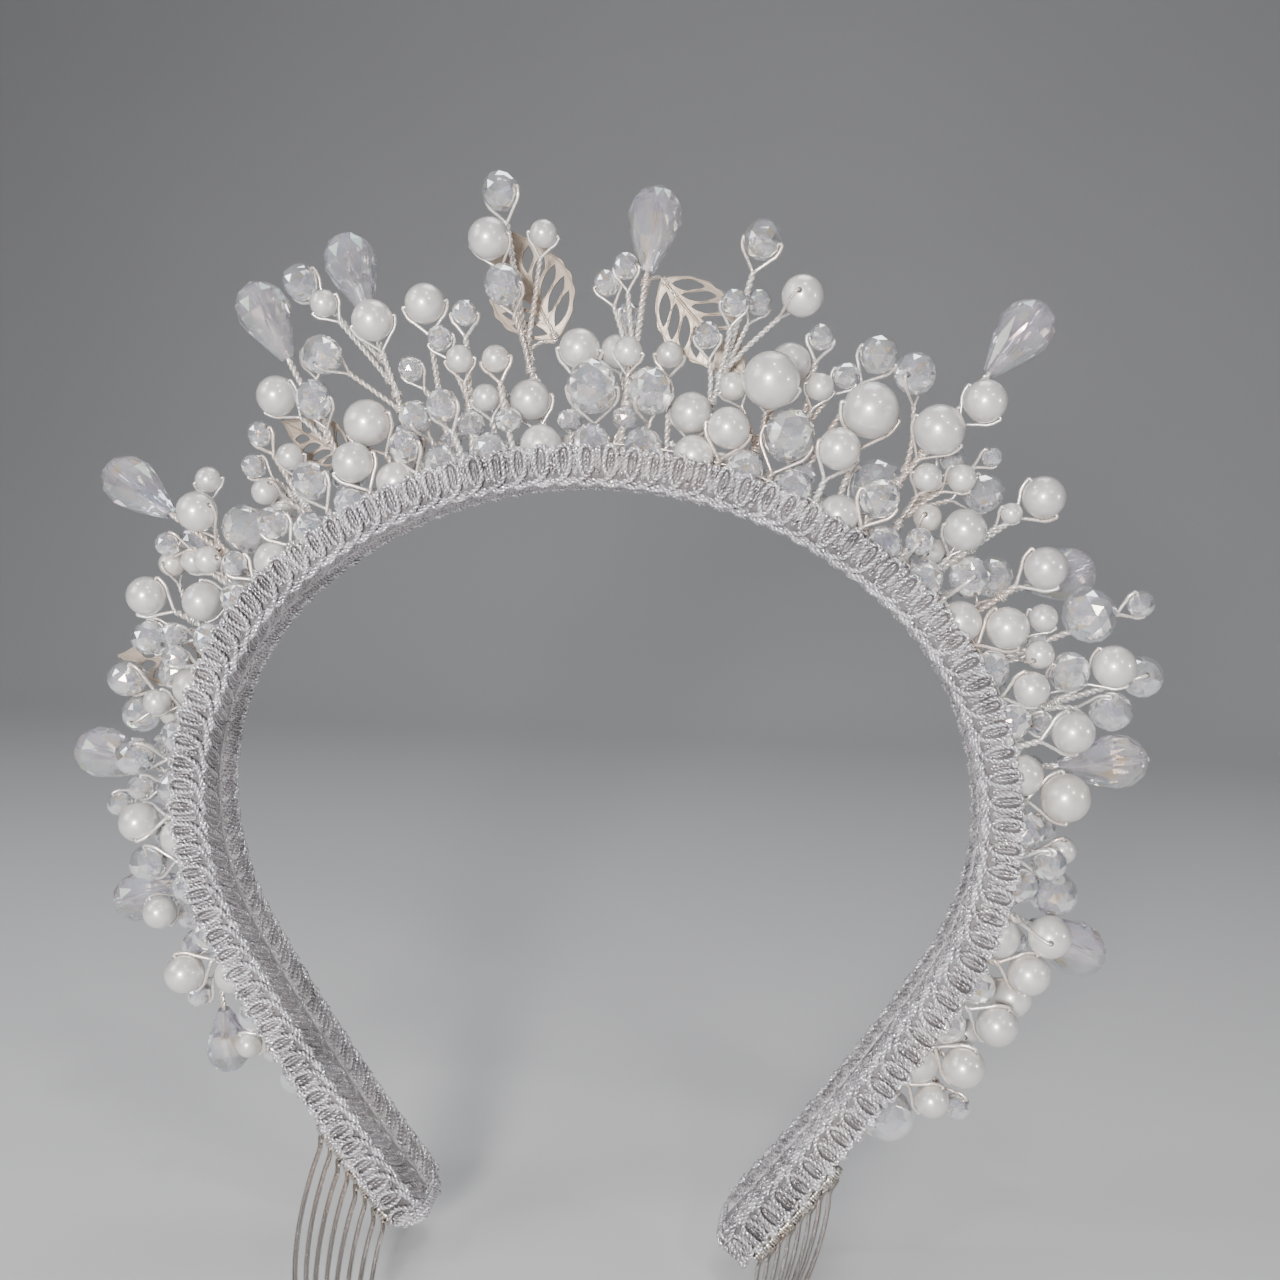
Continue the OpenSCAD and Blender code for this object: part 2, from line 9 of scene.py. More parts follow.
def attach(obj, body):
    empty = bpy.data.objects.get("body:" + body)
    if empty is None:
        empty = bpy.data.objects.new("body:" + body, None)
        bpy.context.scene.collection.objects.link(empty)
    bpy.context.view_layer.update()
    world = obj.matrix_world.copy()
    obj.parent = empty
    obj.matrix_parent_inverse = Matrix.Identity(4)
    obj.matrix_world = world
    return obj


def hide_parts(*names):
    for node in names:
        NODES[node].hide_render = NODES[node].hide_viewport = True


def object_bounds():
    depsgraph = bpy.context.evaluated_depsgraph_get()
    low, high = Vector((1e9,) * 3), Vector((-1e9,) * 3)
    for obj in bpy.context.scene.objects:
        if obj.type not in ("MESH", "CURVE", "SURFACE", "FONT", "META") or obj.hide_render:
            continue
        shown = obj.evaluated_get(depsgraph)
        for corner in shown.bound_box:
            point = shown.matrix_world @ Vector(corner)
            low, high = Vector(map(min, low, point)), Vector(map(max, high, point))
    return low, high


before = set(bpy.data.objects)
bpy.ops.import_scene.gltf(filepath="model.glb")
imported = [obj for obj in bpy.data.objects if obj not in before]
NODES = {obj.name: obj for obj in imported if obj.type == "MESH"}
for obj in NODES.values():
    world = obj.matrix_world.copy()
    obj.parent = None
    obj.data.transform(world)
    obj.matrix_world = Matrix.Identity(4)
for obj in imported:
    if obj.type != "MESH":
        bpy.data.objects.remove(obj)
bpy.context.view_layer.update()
rng = np.random.default_rng(11)
TAU = 2 * math.pi

# ---- Band outline, as in the CAD: three arcs a side, stations run from the apex ----

CROWN_R, TEMPLE_R, ARM_R = 65.0, 41.0, 310.0
CROWN_END, TEMPLE_END = math.radians(41), math.radians(121)
CROWN_LEN = CROWN_R * CROWN_END
TEMPLE_LEN = TEMPLE_R * (TEMPLE_END - CROWN_END)
CROWN_C = np.array([0.0, -CROWN_R])
TEMPLE_C = CROWN_C + (CROWN_R - TEMPLE_R) * np.array([math.sin(CROWN_END), math.cos(CROWN_END)])
ARM_C = TEMPLE_C + (TEMPLE_R - ARM_R) * np.array([math.sin(TEMPLE_END), math.cos(TEMPLE_END)])
ARM_END = 152.0
HALF_W = 6.0
OUTER = 3.0
LAY_PITCH = 1.5  # length of one turn of a two-ply cord
CORD_SIDES = 5


def band_angle(s):
    """Angle of the outward normal at a station, from straight up."""
    a = np.abs(s)
    return np.where(
        a < CROWN_LEN,
        a / CROWN_R,
        np.where(
            a < CROWN_LEN + TEMPLE_LEN,
            CROWN_END + (a - CROWN_LEN) / TEMPLE_R,
            TEMPLE_END + (a - CROWN_LEN - TEMPLE_LEN) / ARM_R,
        ),
    )


def place(s, reach, depth):
    """Points at stations, reaches and depths, in mm."""
    s, reach, depth = np.broadcast_arrays(*(np.asarray(v, float) for v in (s, reach, depth)))
    a, m = band_angle(s), np.abs(s)
    crown, temple = m < CROWN_LEN, m < CROWN_LEN + TEMPLE_LEN
    r = np.where(crown, CROWN_R, np.where(temple, TEMPLE_R, ARM_R)) + reach
    cx = np.where(crown, CROWN_C[0], np.where(temple, TEMPLE_C[0], ARM_C[0]))
    cz = np.where(crown, CROWN_C[1], np.where(temple, TEMPLE_C[1], ARM_C[1]))
    sign = np.where(s < 0, -1.0, 1.0)
    return np.stack([sign * (cx + r * np.sin(a)), depth, cz + r * np.cos(a)], -1)


def outward(s):
    a, sign = band_angle(s), np.where(np.asarray(s) < 0, -1.0, 1.0)
    return np.stack([sign * np.sin(a), np.zeros_like(a), np.cos(a)], -1)


def along(s):
    a, sign = band_angle(s), np.where(np.asarray(s) < 0, -1.0, 1.0)
    return np.stack([np.cos(a), np.zeros_like(a), -sign * np.sin(a)], -1)


def unit(v):
    v = np.asarray(v, float)
    return v / np.maximum(np.linalg.norm(v, axis=-1, keepdims=True), 1e-9)


def across(u, like=(0.0, 1.0, 0.3)):
    """A unit vector square to u and to a reference."""
    w = np.cross(u, like)
    if np.linalg.norm(w) < 0.1:
        w = np.cross(u, (1.0, 0.0, 0.0))
    return unit(w)


def turned(v, axis, angle):
    c, s = math.cos(angle), math.sin(angle)
    return v * c + np.cross(axis, v) * s + axis * np.dot(axis, v) * (1 - c)


# ---- Mesh gathering ----


class Soup:
    """Vertices and faces of many small shells, gathered into one mesh."""

    def __init__(self):
        self.verts, self.faces, self.sizes, self.tones, self.count = [], [], [], [], 0

    def add(self, verts, faces, tone=None):
        """faces is an array with one row of corners for each face. tone is a number for each face."""
        verts, faces = np.asarray(verts, float).reshape(-1, 3), np.asarray(faces, np.int64)
        self.verts.append(verts)
        self.faces.append((faces + self.count).ravel())
        self.sizes.append(np.full(len(faces), faces.shape[1]))
        self.tones.append(np.zeros(len(faces)) if tone is None else np.asarray(tone, float))
        self.count += len(verts)

    def piece(self, name, material, slot, *replaced, smooth=True):
        mesh = bpy.data.meshes.new(name)
        verts, loops = np.concatenate(self.verts) / 1000, np.concatenate(self.faces)
        sizes = np.concatenate(self.sizes)
        mesh.vertices.add(len(verts))
        mesh.vertices.foreach_set("co", verts.astype(np.float32).ravel())
        mesh.loops.add(len(loops))
        mesh.loops.foreach_set("vertex_index", loops.astype(np.int32))
        mesh.polygons.add(len(sizes))
        starts = np.concatenate([[0], np.cumsum(sizes)[:-1]])
        mesh.polygons.foreach_set("loop_start", starts.astype(np.int32))
        mesh.update(calc_edges=True)
        mesh.polygons.foreach_set("use_smooth", np.full(len(sizes), smooth))
        tone = mesh.attributes.new("tone", "FLOAT", "FACE")
        tone.data.foreach_set("value", np.concatenate(self.tones).astype(np.float32))
        mesh.validate()
        return finished(name, mesh, material, slot, *replaced)


def finished(name, mesh, material, slot, *replaced):
    """Puts a mesh into the scene as a piece that rides on the tiara's one body."""
    piece = bpy.data.objects.new(name, mesh)
    bpy.context.scene.collection.objects.link(piece)
    mesh.materials.clear()
    mesh.materials.append(material)
    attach(piece, "root")
    if replaced:
        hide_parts(*replaced)
    return piece


def grid_faces(rows, cols, wrap_rows=False, wrap_cols=True):
    """Quads between rows of points."""
    i = np.arange(rows if wrap_rows else rows - 1)[:, None]
    j = np.arange(cols if wrap_cols else cols - 1)[None, :]
    a, b = i * cols + j, i * cols + (j + 1) % cols
    c, d = ((i + 1) % rows) * cols + (j + 1) % cols, ((i + 1) % rows) * cols + j
    return np.stack([x.ravel() for x in np.broadcast_arrays(a, b, c, d)], -1)


def tangents(points, closed=False):
    if closed:
        return unit(np.roll(points, -1, 0) - np.roll(points, 1, 0))
    return unit(np.gradient(points, axis=0))


def carried(points):
    """Normals carried along a line with no twist."""
    t = tangents(points)
    n = across(t[0])
    out = [n]
    for b in t[1:]:
        n = n - b * np.dot(n, b)
        n = n / max(np.linalg.norm(n), 1e-9)
        out.append(n)
    return np.array(out)


def tube(soup, points, radius, sides=6, closed=False, normals=None):
    """A round wire along points. radius is a number or one for each point."""
    points = np.asarray(points, float)
    t = tangents(points, closed)
    if normals is None:
        n = carried(points)
    else:
        n = unit(normals - t * np.sum(normals * t, -1, keepdims=True))
    b = np.cross(t, n)
    angle = np.arange(sides) * TAU / sides
    radius = np.broadcast_to(np.asarray(radius, float), (len(points),))[:, None, None]
    ring = n[:, None] * np.cos(angle)[None, :, None] + b[:, None] * np.sin(angle)[None, :, None]
    verts = points[:, None] + radius * ring
    soup.add(verts, grid_faces(len(points), sides, wrap_rows=closed))
    if not closed:
        for row, step in ((0, -1), (len(points) - 1, 1)):
            base = verts[row]
            tip = points[row] + step * t[row] * radius[row, 0] * 0.6
            ring_ids = np.arange(sides)
            tri = np.stack([ring_ids, (ring_ids + 1) % sides, np.full(sides, sides)], -1)
            soup.add(np.vstack([base, tip]), tri[:, ::-1] if step < 0 else tri)


def resampled(points, step, closed=False):
    """Points at even spacing along a line."""
    points = np.asarray(points, float)
    if closed:
        points = np.vstack([points, points[:1]])
    run = np.concatenate([[0], np.cumsum(np.linalg.norm(np.diff(points, axis=0), axis=1))])
    count = max(int(round(run[-1] / step)), 4)
    at = np.linspace(0, run[-1], count + 1)
    out = np.stack([np.interp(at, run, points[:, k]) for k in range(3)], -1)
    return out[:-1] if closed else out


def spline(knots, step=0.2):
    """A smooth line through knots, at even spacing."""
    k = np.asarray(knots, float)
    k = np.vstack([2 * k[0] - k[1], k, 2 * k[-1] - k[-2]])
    u = np.linspace(0, 1, 12, endpoint=False)[:, None]
    out = []
    for p0, p1, p2, p3 in zip(k[:-3], k[1:-2], k[2:-1], k[3:]):
        out.append(
            0.5 * (2 * p1 + (p2 - p0) * u + (2 * p0 - 5 * p1 + 4 * p2 - p3) * u**2
                   + (3 * p1 - p0 - 3 * p2 + p3) * u**3)
        )
    out.append(k[-2][None])
    return resampled(np.vstack(out), step)


def plies(points, normals, lay, pitch, strands=2, phase=0.0, closed=False):
    """Lines of the strands that twist round a core line, each with its outward normals."""
    t = tangents(points, closed)
    n = unit(normals - t * np.sum(normals * t, -1, keepdims=True))
    b = np.cross(t, n)
    steps = np.linalg.norm(np.diff(points, axis=0), axis=1)
    run = np.concatenate([[0], np.cumsum(steps)])
    if closed:
        length = run[-1] + np.linalg.norm(points[0] - points[-1])
        angle = run / length * TAU * max(round(length / pitch), 1)
    else:
        angle = run / pitch * TAU
    out = []
    for k in range(strands):
        a = (angle + phase + k * TAU / strands)[:, None]
        radial = n * np.cos(a) + b * np.sin(a)
        out.append((points + lay * radial, radial))
    return out


def cord(soup, points, normals, strand_r, phase=0.0, closed=False):
    """A two-ply cord along a line."""
    for line, radial in plies(points, normals, strand_r * 0.92, LAY_PITCH, 2, phase, closed):
        tube(soup, line, strand_r, CORD_SIDES, closed, radial)


# ---- Materials: all procedural, sizes in metres ----


class Look:
    """A material being built from nodes round one Principled shader."""

    def __init__(self, name, **constants):
        self.material = bpy.data.materials.new(name)
        self.material.use_nodes = True
        self.tree = self.material.node_tree
        self.tree.nodes.clear()
        out = self.node("OutputMaterial")
        self.shader = self.node("BsdfPrincipled")
        self.tree.links.new(self.shader.outputs[0], out.inputs[0])
        for socket, value in constants.items():
            self.shader.inputs[socket.replace("_", " ")].default_value = value
        self.where = self.node("TexCoord").outputs["Object"]

    def node(self, kind, **values):
        n = self.tree.nodes.new("ShaderNode" + kind)
        for key, value in values.items():
            setattr(n, key, value)
        return n

    def put(self, socket, value):
        if hasattr(value, "is_output"):
            self.tree.links.new(value, socket)
        elif hasattr(value, "__len__") and socket.type == "RGBA":
            socket.default_value = (*value, 1)
        else:
            socket.default_value = value

    def drive(self, name, value):
        self.put(self.shader.inputs[name], value)
        return self

    def noise(self, scale, detail=2.0, stretch=None):
        n = self.node("TexNoise")
        where = self.where
        if stretch is not None:
            m = self.node("Mapping")
            m.inputs["Scale"].default_value = stretch
            self.put(m.inputs["Vector"], where)
            where = m.outputs[0]
        self.put(n.inputs["Vector"], where)
        n.inputs["Scale"].default_value = scale
        n.inputs["Detail"].default_value = detail
        return n.outputs["Fac"]

    def ramp(self, value, *stops):
        n = self.node("ValToRGB")
        while len(n.color_ramp.elements) < len(stops):
            n.color_ramp.elements.new(0.5)
        for e, (at, colour) in zip(n.color_ramp.elements, stops):
            e.position = at
            e.color = (*colour, 1) if hasattr(colour, "__len__") else (colour,) * 3 + (1,)
        self.put(n.inputs[0], value)
        return n.outputs[0]

    def mix(self, factor, a, b, how="MIX"):
        n = self.node("Mix", data_type="RGBA", blend_type=how)
        self.put(n.inputs["Factor"], factor)
        self.put(n.inputs[6], a)
        self.put(n.inputs[7], b)
        return n.outputs[2]

    def maths(self, how, a, b=0.0):
        n = self.node("Math", operation=how)
        self.put(n.inputs[0], a)
        self.put(n.inputs[1], b)
        return n.outputs[0]

    def bump(self, height, strength, distance):
        n = self.node("Bump")
        n.inputs["Strength"].default_value = strength
        n.inputs["Distance"].default_value = distance
        self.put(n.inputs["Height"], height)
        self.drive("Normal", n.outputs[0])
        return self

    def tone(self):
        return self.node("Attribute", attribute_name="tone").outputs["Fac"]

    def shell(self):
        """A random number for each separate shell."""
        return self.node("NewGeometry").outputs["Random Per Island"]


def pearl_look():
    m = Look("pearl_lacquer", Coat_Weight=1.0, Coat_Roughness=0.06, Coat_IOR=1.7, IOR=1.6,
             Metallic=0.36)
    base = m.ramp(m.shell(), (0.0, (0.74, 0.70, 0.645)), (0.4, (0.80, 0.775, 0.74)),
                  (0.75, (0.71, 0.695, 0.68)), (1.0, (0.77, 0.71, 0.65)))
    cloud = m.ramp(m.noise(260, 3), (0.35, (0.95, 0.93, 0.95)), (0.65, (1.0, 1.0, 0.99)))
    m.drive("Base Color", m.mix(1.0, base, cloud, "MULTIPLY"))
    m.drive("Roughness", m.ramp(m.noise(420, 2), (0.3, 0.32), (0.7, 0.42)))
    m.bump(m.noise(1900, 3), 0.08, 0.00006)
    return m.material


def crystal_look(name, tints, milk):
    """Cut glass with a coating whose tint changes from facet to facet."""
    m = Look(name, IOR=1.56, Coat_Weight=0.5, Coat_Roughness=0.02, Coat_IOR=1.8)
    for socket, value in (("Thin Film Thickness", 420.0), ("Thin Film IOR", 1.75)):
        if socket in m.shader.inputs:
            m.shader.inputs[socket].default_value = value
    mood = m.maths("FRACT", m.maths("ADD", m.tone(), m.maths("MULTIPLY", m.noise(95, 1), 0.5)))
    tint = m.ramp(mood, *tints)
    wash = m.ramp(m.noise(170, 2), (0.4, (0.93, 0.93, 0.97)), (0.62, (1.0, 0.99, 0.98)))
    m.drive("Base Color", m.mix(1.0, tint, wash, "MULTIPLY"))
    m.drive("Roughness", m.ramp(m.noise(700, 2), (0.35, 0.015), (0.7, 0.07)))
    m.drive("Transmission Weight", m.ramp(m.noise(240, 2), (0.3, 1 - milk), (0.75, 1 - milk * 0.35)))
    return m.material


def thread_look(name, light, dark, warm, metal=(0.55, 0.95), rough=(0.13, 0.27), weave=0.12):
    """Metallised thread: bright silver with duller, warmer stretches."""
    m = Look(name, Metallic=0.0, Sheen_Weight=0.1, Sheen_Roughness=0.3)
    patch = m.noise(90, 3)
    base = m.ramp(patch, (0.36, dark), (0.5, light), (0.66, warm))
    fibre = m.ramp(m.noise(5200, 2, stretch=(1, 0.25, 1)), (0.35, 0.92), (0.6, 1.0))
    m.drive("Base Color", m.mix(1.0, base, fibre, "MULTIPLY"))
    m.drive("Metallic", m.ramp(m.noise(600, 2), (0.38, metal[0]), (0.6, metal[1])))
    m.drive("Roughness", m.ramp(m.noise(900, 2), (0.3, rough[0]), (0.7, rough[1])))
    m.bump(m.noise(6000, 2, stretch=(1, 0.3, 1)), weave, 0.00005)
    return m.material


def wire_look(name, silver, rose, low=0.16, high=0.34, metal=1.0):
    m = Look(name, Metallic=metal)
    m.drive("Base Color", m.ramp(m.noise(75, 2), (0.4, silver), (0.62, rose)))
    m.drive("Roughness", m.ramp(m.noise(900, 2), (0.3, low), (0.7, high)))
    m.bump(m.noise(3500, 2), 0.12, 0.00003)
    return m.material


def satin_look(name, light, dark):
    """Satin ribbon: fine ribs across, with a soft sheen."""
    m = Look(name, Sheen_Weight=0.35, Sheen_Roughness=0.35, IOR=1.45)
    rib = m.node("TexWave", wave_type="BANDS", bands_direction="DIAGONAL")
    m.put(rib.inputs["Vector"], m.where)
    rib.inputs["Scale"].default_value = 900
    rib.inputs["Distortion"].default_value = 1.5
    weave = m.mix(0.5, rib.outputs["Color"], m.noise(5000, 2))
    m.drive("Base Color", m.mix(weave, m.ramp(m.noise(120, 2), (0.3, dark), (0.7, light)), light))
    m.drive("Roughness", m.ramp(m.noise(400, 2), (0.3, 0.38), (0.7, 0.6)))
    m.bump(weave, 0.5, 0.00008)
    return m.material


def leaf_look():
    m = Look("leaf_rose_champagne", Metallic=0.55)
    base = m.ramp(m.noise(130, 3), (0.3, (0.34, 0.27, 0.215)), (0.55, (0.46, 0.38, 0.31)),
                  (0.75, (0.56, 0.485, 0.41)))
    m.drive("Base Color", base)
    m.drive("Roughness", m.ramp(m.noise(600, 3), (0.3, 0.34), (0.7, 0.56)))
    m.bump(m.noise(2600, 3), 0.3, 0.00005)
    return m.material


PEARL = pearl_look()
CRYSTAL = crystal_look(
    "crystal_coated_glass",
    [(0.0, (0.93, 0.93, 0.95)), (0.35, (0.80, 0.80, 0.83)), (0.55, (0.94, 0.93, 0.96)),
     (0.7, (0.82, 0.79, 0.93)), (0.82, (0.74, 0.84, 0.94)), (0.9, (0.92, 0.88, 0.92)),
     (0.97, (0.97, 0.80, 0.56))],
    0.34,
)
DROP = crystal_look(
    "drop_coated_glass",
    [(0.0, (0.94, 0.93, 0.96)), (0.4, (0.86, 0.83, 0.92)), (0.6, (0.93, 0.85, 0.87)),
     (0.78, (0.78, 0.83, 0.94)), (0.92, (0.94, 0.91, 0.89)), (0.98, (0.97, 0.78, 0.56))],
    0.24,
)
THREAD = thread_look("silver_braid_thread", (0.94, 0.92, 0.95), (0.80, 0.775, 0.80), (0.93, 0.88, 0.89))
# A darker copy of the braid thread: painted shade for the loops on the head-side face and for the filler
# loops inside the outer loops.
SHADED_THREAD = thread_look("silver_thread_painted_shade", (0.74, 0.70, 0.72), (0.55, 0.52, 0.53),
                           (0.72, 0.665, 0.675))
# The backing tape is painted very dark: painted shade in the gaps between the braid loops.
SHADED_TAPE = thread_look("braid_backing_painted_shade", (0.165, 0.152, 0.158), (0.115, 0.106, 0.11), (0.16, 0.143, 0.146),
                   (0.1, 0.3), (0.42, 0.6), 0.7)
# The lining is painted darker than the braid thread: painted shade on the head-side face.
SHADED_LINING = thread_look("braid_lining_painted_shade", (0.60, 0.57, 0.585), (0.45, 0.425, 0.435), (0.58, 0.54, 0.55),
                     (0.1, 0.35), (0.42, 0.6), 0.7)
WIRE = wire_look("twisted_craft_wire", (0.90, 0.87, 0.84), (0.84, 0.73, 0.66), 0.2, 0.4, 0.65)
COMB_WIRE = wire_look("comb_wire_silver", (0.80, 0.77, 0.73), (0.72, 0.64, 0.57), 0.14, 0.28)
SATIN = satin_look("padding_satin", (0.60, 0.585, 0.585), (0.48, 0.465, 0.465))
RIBBON = satin_look("comb_ribbon_satin", (0.74, 0.72, 0.71), (0.60, 0.58, 0.57))
LEAF = leaf_look()
STEEL = wire_look("spring_strip_steel", (0.48, 0.49, 0.52), (0.40, 0.41, 0.45), 0.3, 0.45)

# ---- Solids found in the CAD nodes ----


def islands(name):
    """The vertices of each separate solid in a CAD node, in mm."""
    mesh = NODES[name].data
    co = np.empty(len(mesh.vertices) * 3, np.float32)
    mesh.vertices.foreach_get("co", co)
    co = co.reshape(-1, 3).astype(float) * 1000
    pairs = np.empty(len(mesh.edges) * 2, np.int32)
    mesh.edges.foreach_get("vertices", pairs)
    points, same = np.unique(np.round(co, 4), axis=0, return_inverse=True)
    pairs = same.ravel()[pairs].reshape(-1, 2)
    label = np.arange(len(points))
    while True:
        low = np.minimum(label[pairs[:, 0]], label[pairs[:, 1]])
        new = label.copy()
        np.minimum.at(new, pairs[:, 0], low)
        np.minimum.at(new, pairs[:, 1], low)
        new = new[new]
        if (new == label).all():
            break
        label = new
    return [points[label == k] for k in np.unique(label)]


def long_axis(points):
    centred = points - points.mean(0)
    return np.linalg.svd(centred, full_matrices=False)[2][0]


def find_beads(name, kind):
    out = []
    for pts in islands(name):
        mid = (pts.min(0) + pts.max(0)) / 2
        if kind == "pearls":
            out.append(dict(kind=kind, c=mid, r=(pts.max(0) - pts.min(0)).mean() / 2))
        elif kind == "crystals":
            r = np.linalg.norm(pts - mid, axis=1).max() / 1.0098
            out.append(dict(kind=kind, c=mid, r=r))
        else:
            axis = long_axis(pts)
            t = (pts - pts.mean(0)) @ axis
            if t.max() > -t.min():
                axis, t = -axis, -t
            c = pts.mean(0) + axis * (t.max() + t.min()) / 2
            side = pts - c - np.outer((pts - c) @ axis, axis)
            out.append(dict(kind=kind, c=c, r=np.linalg.norm(side, axis=1).max(), axis=axis,
                            half=(t.max() - t.min()) / 2))
    return out


def find_wires(name):
    out = []
    for pts in islands(name):
        axis = long_axis(pts)
        t = (pts - pts.mean(0)) @ axis
        mid = pts.mean(0)
        side = pts - mid - np.outer(t, axis)
        out.append(dict(ends=(mid + axis * t.min(), mid + axis * t.max()),
                        r=np.linalg.norm(side, axis=1).max()))
    return out


def join(wires, beads):
    """Gives each wire the bead at its end, and turns it so that it runs towards the bead."""
    for w in wires:
        best = None
        for a, b in (w["ends"], w["ends"][::-1]):
            u = unit(b - a)
            for bead in beads:
                stop = bead.get("half", bead["r"]) + 0.05
                t = np.dot(bead["c"] - b, u)
                off = np.linalg.norm(bead["c"] - b - t * u) + abs(t - stop)
                if best is None or off < best[0]:
                    best = (off, a, b, u, bead)
        w["from"], w["to"], w["u"], w["bead"] = best[1:]
        best[4]["wire"] = w


# ---- Beads ----

HOLE = 0.42
PEARL_SEGMENTS = 26


def basis(axis):
    x = across(axis, (0.2, 1.0, 0.1))
    return x, np.cross(axis, x), axis


def spun(soup, centre, axis, profile, count, tone):
    """A closed turned shell. profile is (radius, height), over the outside and back through the bore."""
    x, y, z = basis(axis)
    a = np.arange(count) * TAU / count
    rim = np.cos(a)[:, None] * x + np.sin(a)[:, None] * y
    p = np.asarray(profile, float)
    rows = centre + p[:, 0, None, None] * rim[None] + p[:, 1, None, None] * z
    faces = grid_faces(len(p), count, wrap_rows=True)
    soup.add(rows, faces, np.full(len(faces), tone))


def add_pearl(soup, bead, axis):
    r = bead["r"]
    mouth = math.asin(min(HOLE / r, 0.5))
    angle = np.linspace(mouth * 1.25, math.pi - mouth * 1.25, 19)
    outside = [(r * math.sin(t), r * math.cos(t)) for t in angle]
    top = r * math.cos(mouth)
    bore = [(HOLE * 1.02, -top * 0.992), (HOLE * 0.92, -top * 0.93), (HOLE * 0.92, -top * 0.4),
            (HOLE * 0.92, top * 0.4), (HOLE * 0.92, top * 0.93), (HOLE * 1.02, top * 0.992)]
    spun(soup, bead["c"], axis, outside + bore, PEARL_SEGMENTS, rng.random())


def ring(centre, frame3, radius, height, count, shift):
    x, y, z = frame3
    a = (np.arange(count) + shift) * TAU / count
    return centre + radius * (np.cos(a)[:, None] * x + np.sin(a)[:, None] * y) + height * z


def cut_shell(soup, centre, axis, rings, count, bore, tone_of):
    """A faceted closed shell. rings is (radius, height, shift), and bore is (radius, height)."""
    frame3 = basis(axis)
    rows = [ring(centre, frame3, r, h, count, shift) for r, h, shift in rings]
    rows += [ring(centre, frame3, r, h, count, rings[-1][2]) for r, h in bore]
    tris, total, n = [], len(rows), count
    j = np.arange(n)
    for k in range(total):
        nxt = (k + 1) % total
        s0 = rings[k][2] if k < len(rings) else rings[-1][2]
        s1 = rings[nxt][2] if nxt < len(rings) else rings[-1][2]
        lo, hi = k * n, nxt * n
        if s1 > s0:
            tris.append(np.stack([lo + j, lo + (j + 1) % n, hi + j], -1))
            tris.append(np.stack([lo + (j + 1) % n, hi + (j + 1) % n, hi + j], -1))
        else:
            tris.append(np.stack([lo + j, lo + (j + 1) % n, hi + (j + 1) % n], -1))
            tris.append(np.stack([lo + j, hi + (j + 1) % n, hi + j], -1))
    faces = np.vstack(tris)
    soup.add(np.vstack(rows), faces, tone_of(len(faces)))


def facet_tones(count):
    return rng.random(count)


# Rings of corners of a round faceted bead, as shares of its diameter, with the turn in facets
CUT = [(0.17, 0.43, 0.0), (0.335, 0.335, 0.5), (0.455, 0.18, 0.0), (0.5, 0.0, 0.5),
       (0.455, -0.18, 0.0), (0.335, -0.335, 0.5), (0.17, -0.43, 0.0)]


def add_crystal(soup, bead, axis):
    d = 2 * bead["r"]
    count = 14 if d > 5 else 11
    bore = HOLE * 0.9
    rings = [(r * d, h * d, shift) for r, h, shift in CUT]
    mouths = [(bore, -CUT[0][1] * d), (bore, CUT[0][1] * d)]
    axis = turned(axis, across(axis), rng.uniform(-0.12, 0.12))
    cut_shell(soup, bead["c"], axis, rings, count, mouths, facet_tones)


def add_drop(soup, bead):
    d, length = 2 * bead["r"], 2 * bead["half"]
    bore = HOLE * 0.8
    rings = [(0.13, -0.5, 0.0), (0.385, -0.13, 0.5), (0.5, 0.13, 0.0), (0.45, 0.31, 0.5),
             (0.31, 0.44, 0.0), (0.14, 0.5, 0.5)]
    rows = [(r * d, h * length, shift) for r, h, shift in rings]
    mouths = [(bore, 0.5 * length), (bore, -0.5 * length)]
    cut_shell(soup, bead["c"], bead["axis"], rows, 12, mouths, facet_tones)


# ---- Wires ----

STRAND = {"stem": 0.27, "twig": 0.21}
STEM_FROM = 0.35  # CAD rods thicker than this radius are stems, and the others are twigs
TWIST = 2.0


def hole_axis(bead, u):
    """The drilling of a bead at the end of a wire, square to the wire."""
    if "drill" not in bead:
        turn = rng.uniform(-0.35, 0.35) if rng.random() < 0.85 else rng.uniform(0.9, 1.5)
        bead["drill"] = turned(across(u), u, turn)
    return bead["drill"]


def clasp(bead, u, strand_r):
    """Where a twisted pair ends below a bead, and the lines of its two ends round the bead."""
    c, r = bead["c"], bead["r"]
    if bead["kind"] == "drops":
        half, axis = bead["half"], bead["axis"]
        end = c - axis * (half + 0.7)
        g = across(axis, (0.3, 1.0, 0.0))
        lines = [[c - axis * (half + 0.15) + g * k, c - axis * (half - 1.2) + g * k * 0.6]
                 for k in (0.12, -0.12)]
        return end, g, lines
    h = hole_axis(bead, u)
    lift = strand_r + 0.04

    def rho(phi):
        flat = 0.16 * (phi / 90) ** 2 if bead["kind"] == "crystals" else 0.0
        return r * (1 - flat) + lift

    spread = 0.55 + 0.2 * r
    end = c - u * (r + lift + spread)
    lines = []
    for k in (1, -1):
        line = [c + rho(p) * (-u * math.cos(math.radians(p)) + k * h * math.sin(math.radians(p)))
                for p in (34, 52, 68, 80)]
        line += [c + k * h * (rho(90) + 0.03) - u * 0.12, c + k * h * (rho(90) - 0.7)]
        lines.append(line)
    return end, h, lines


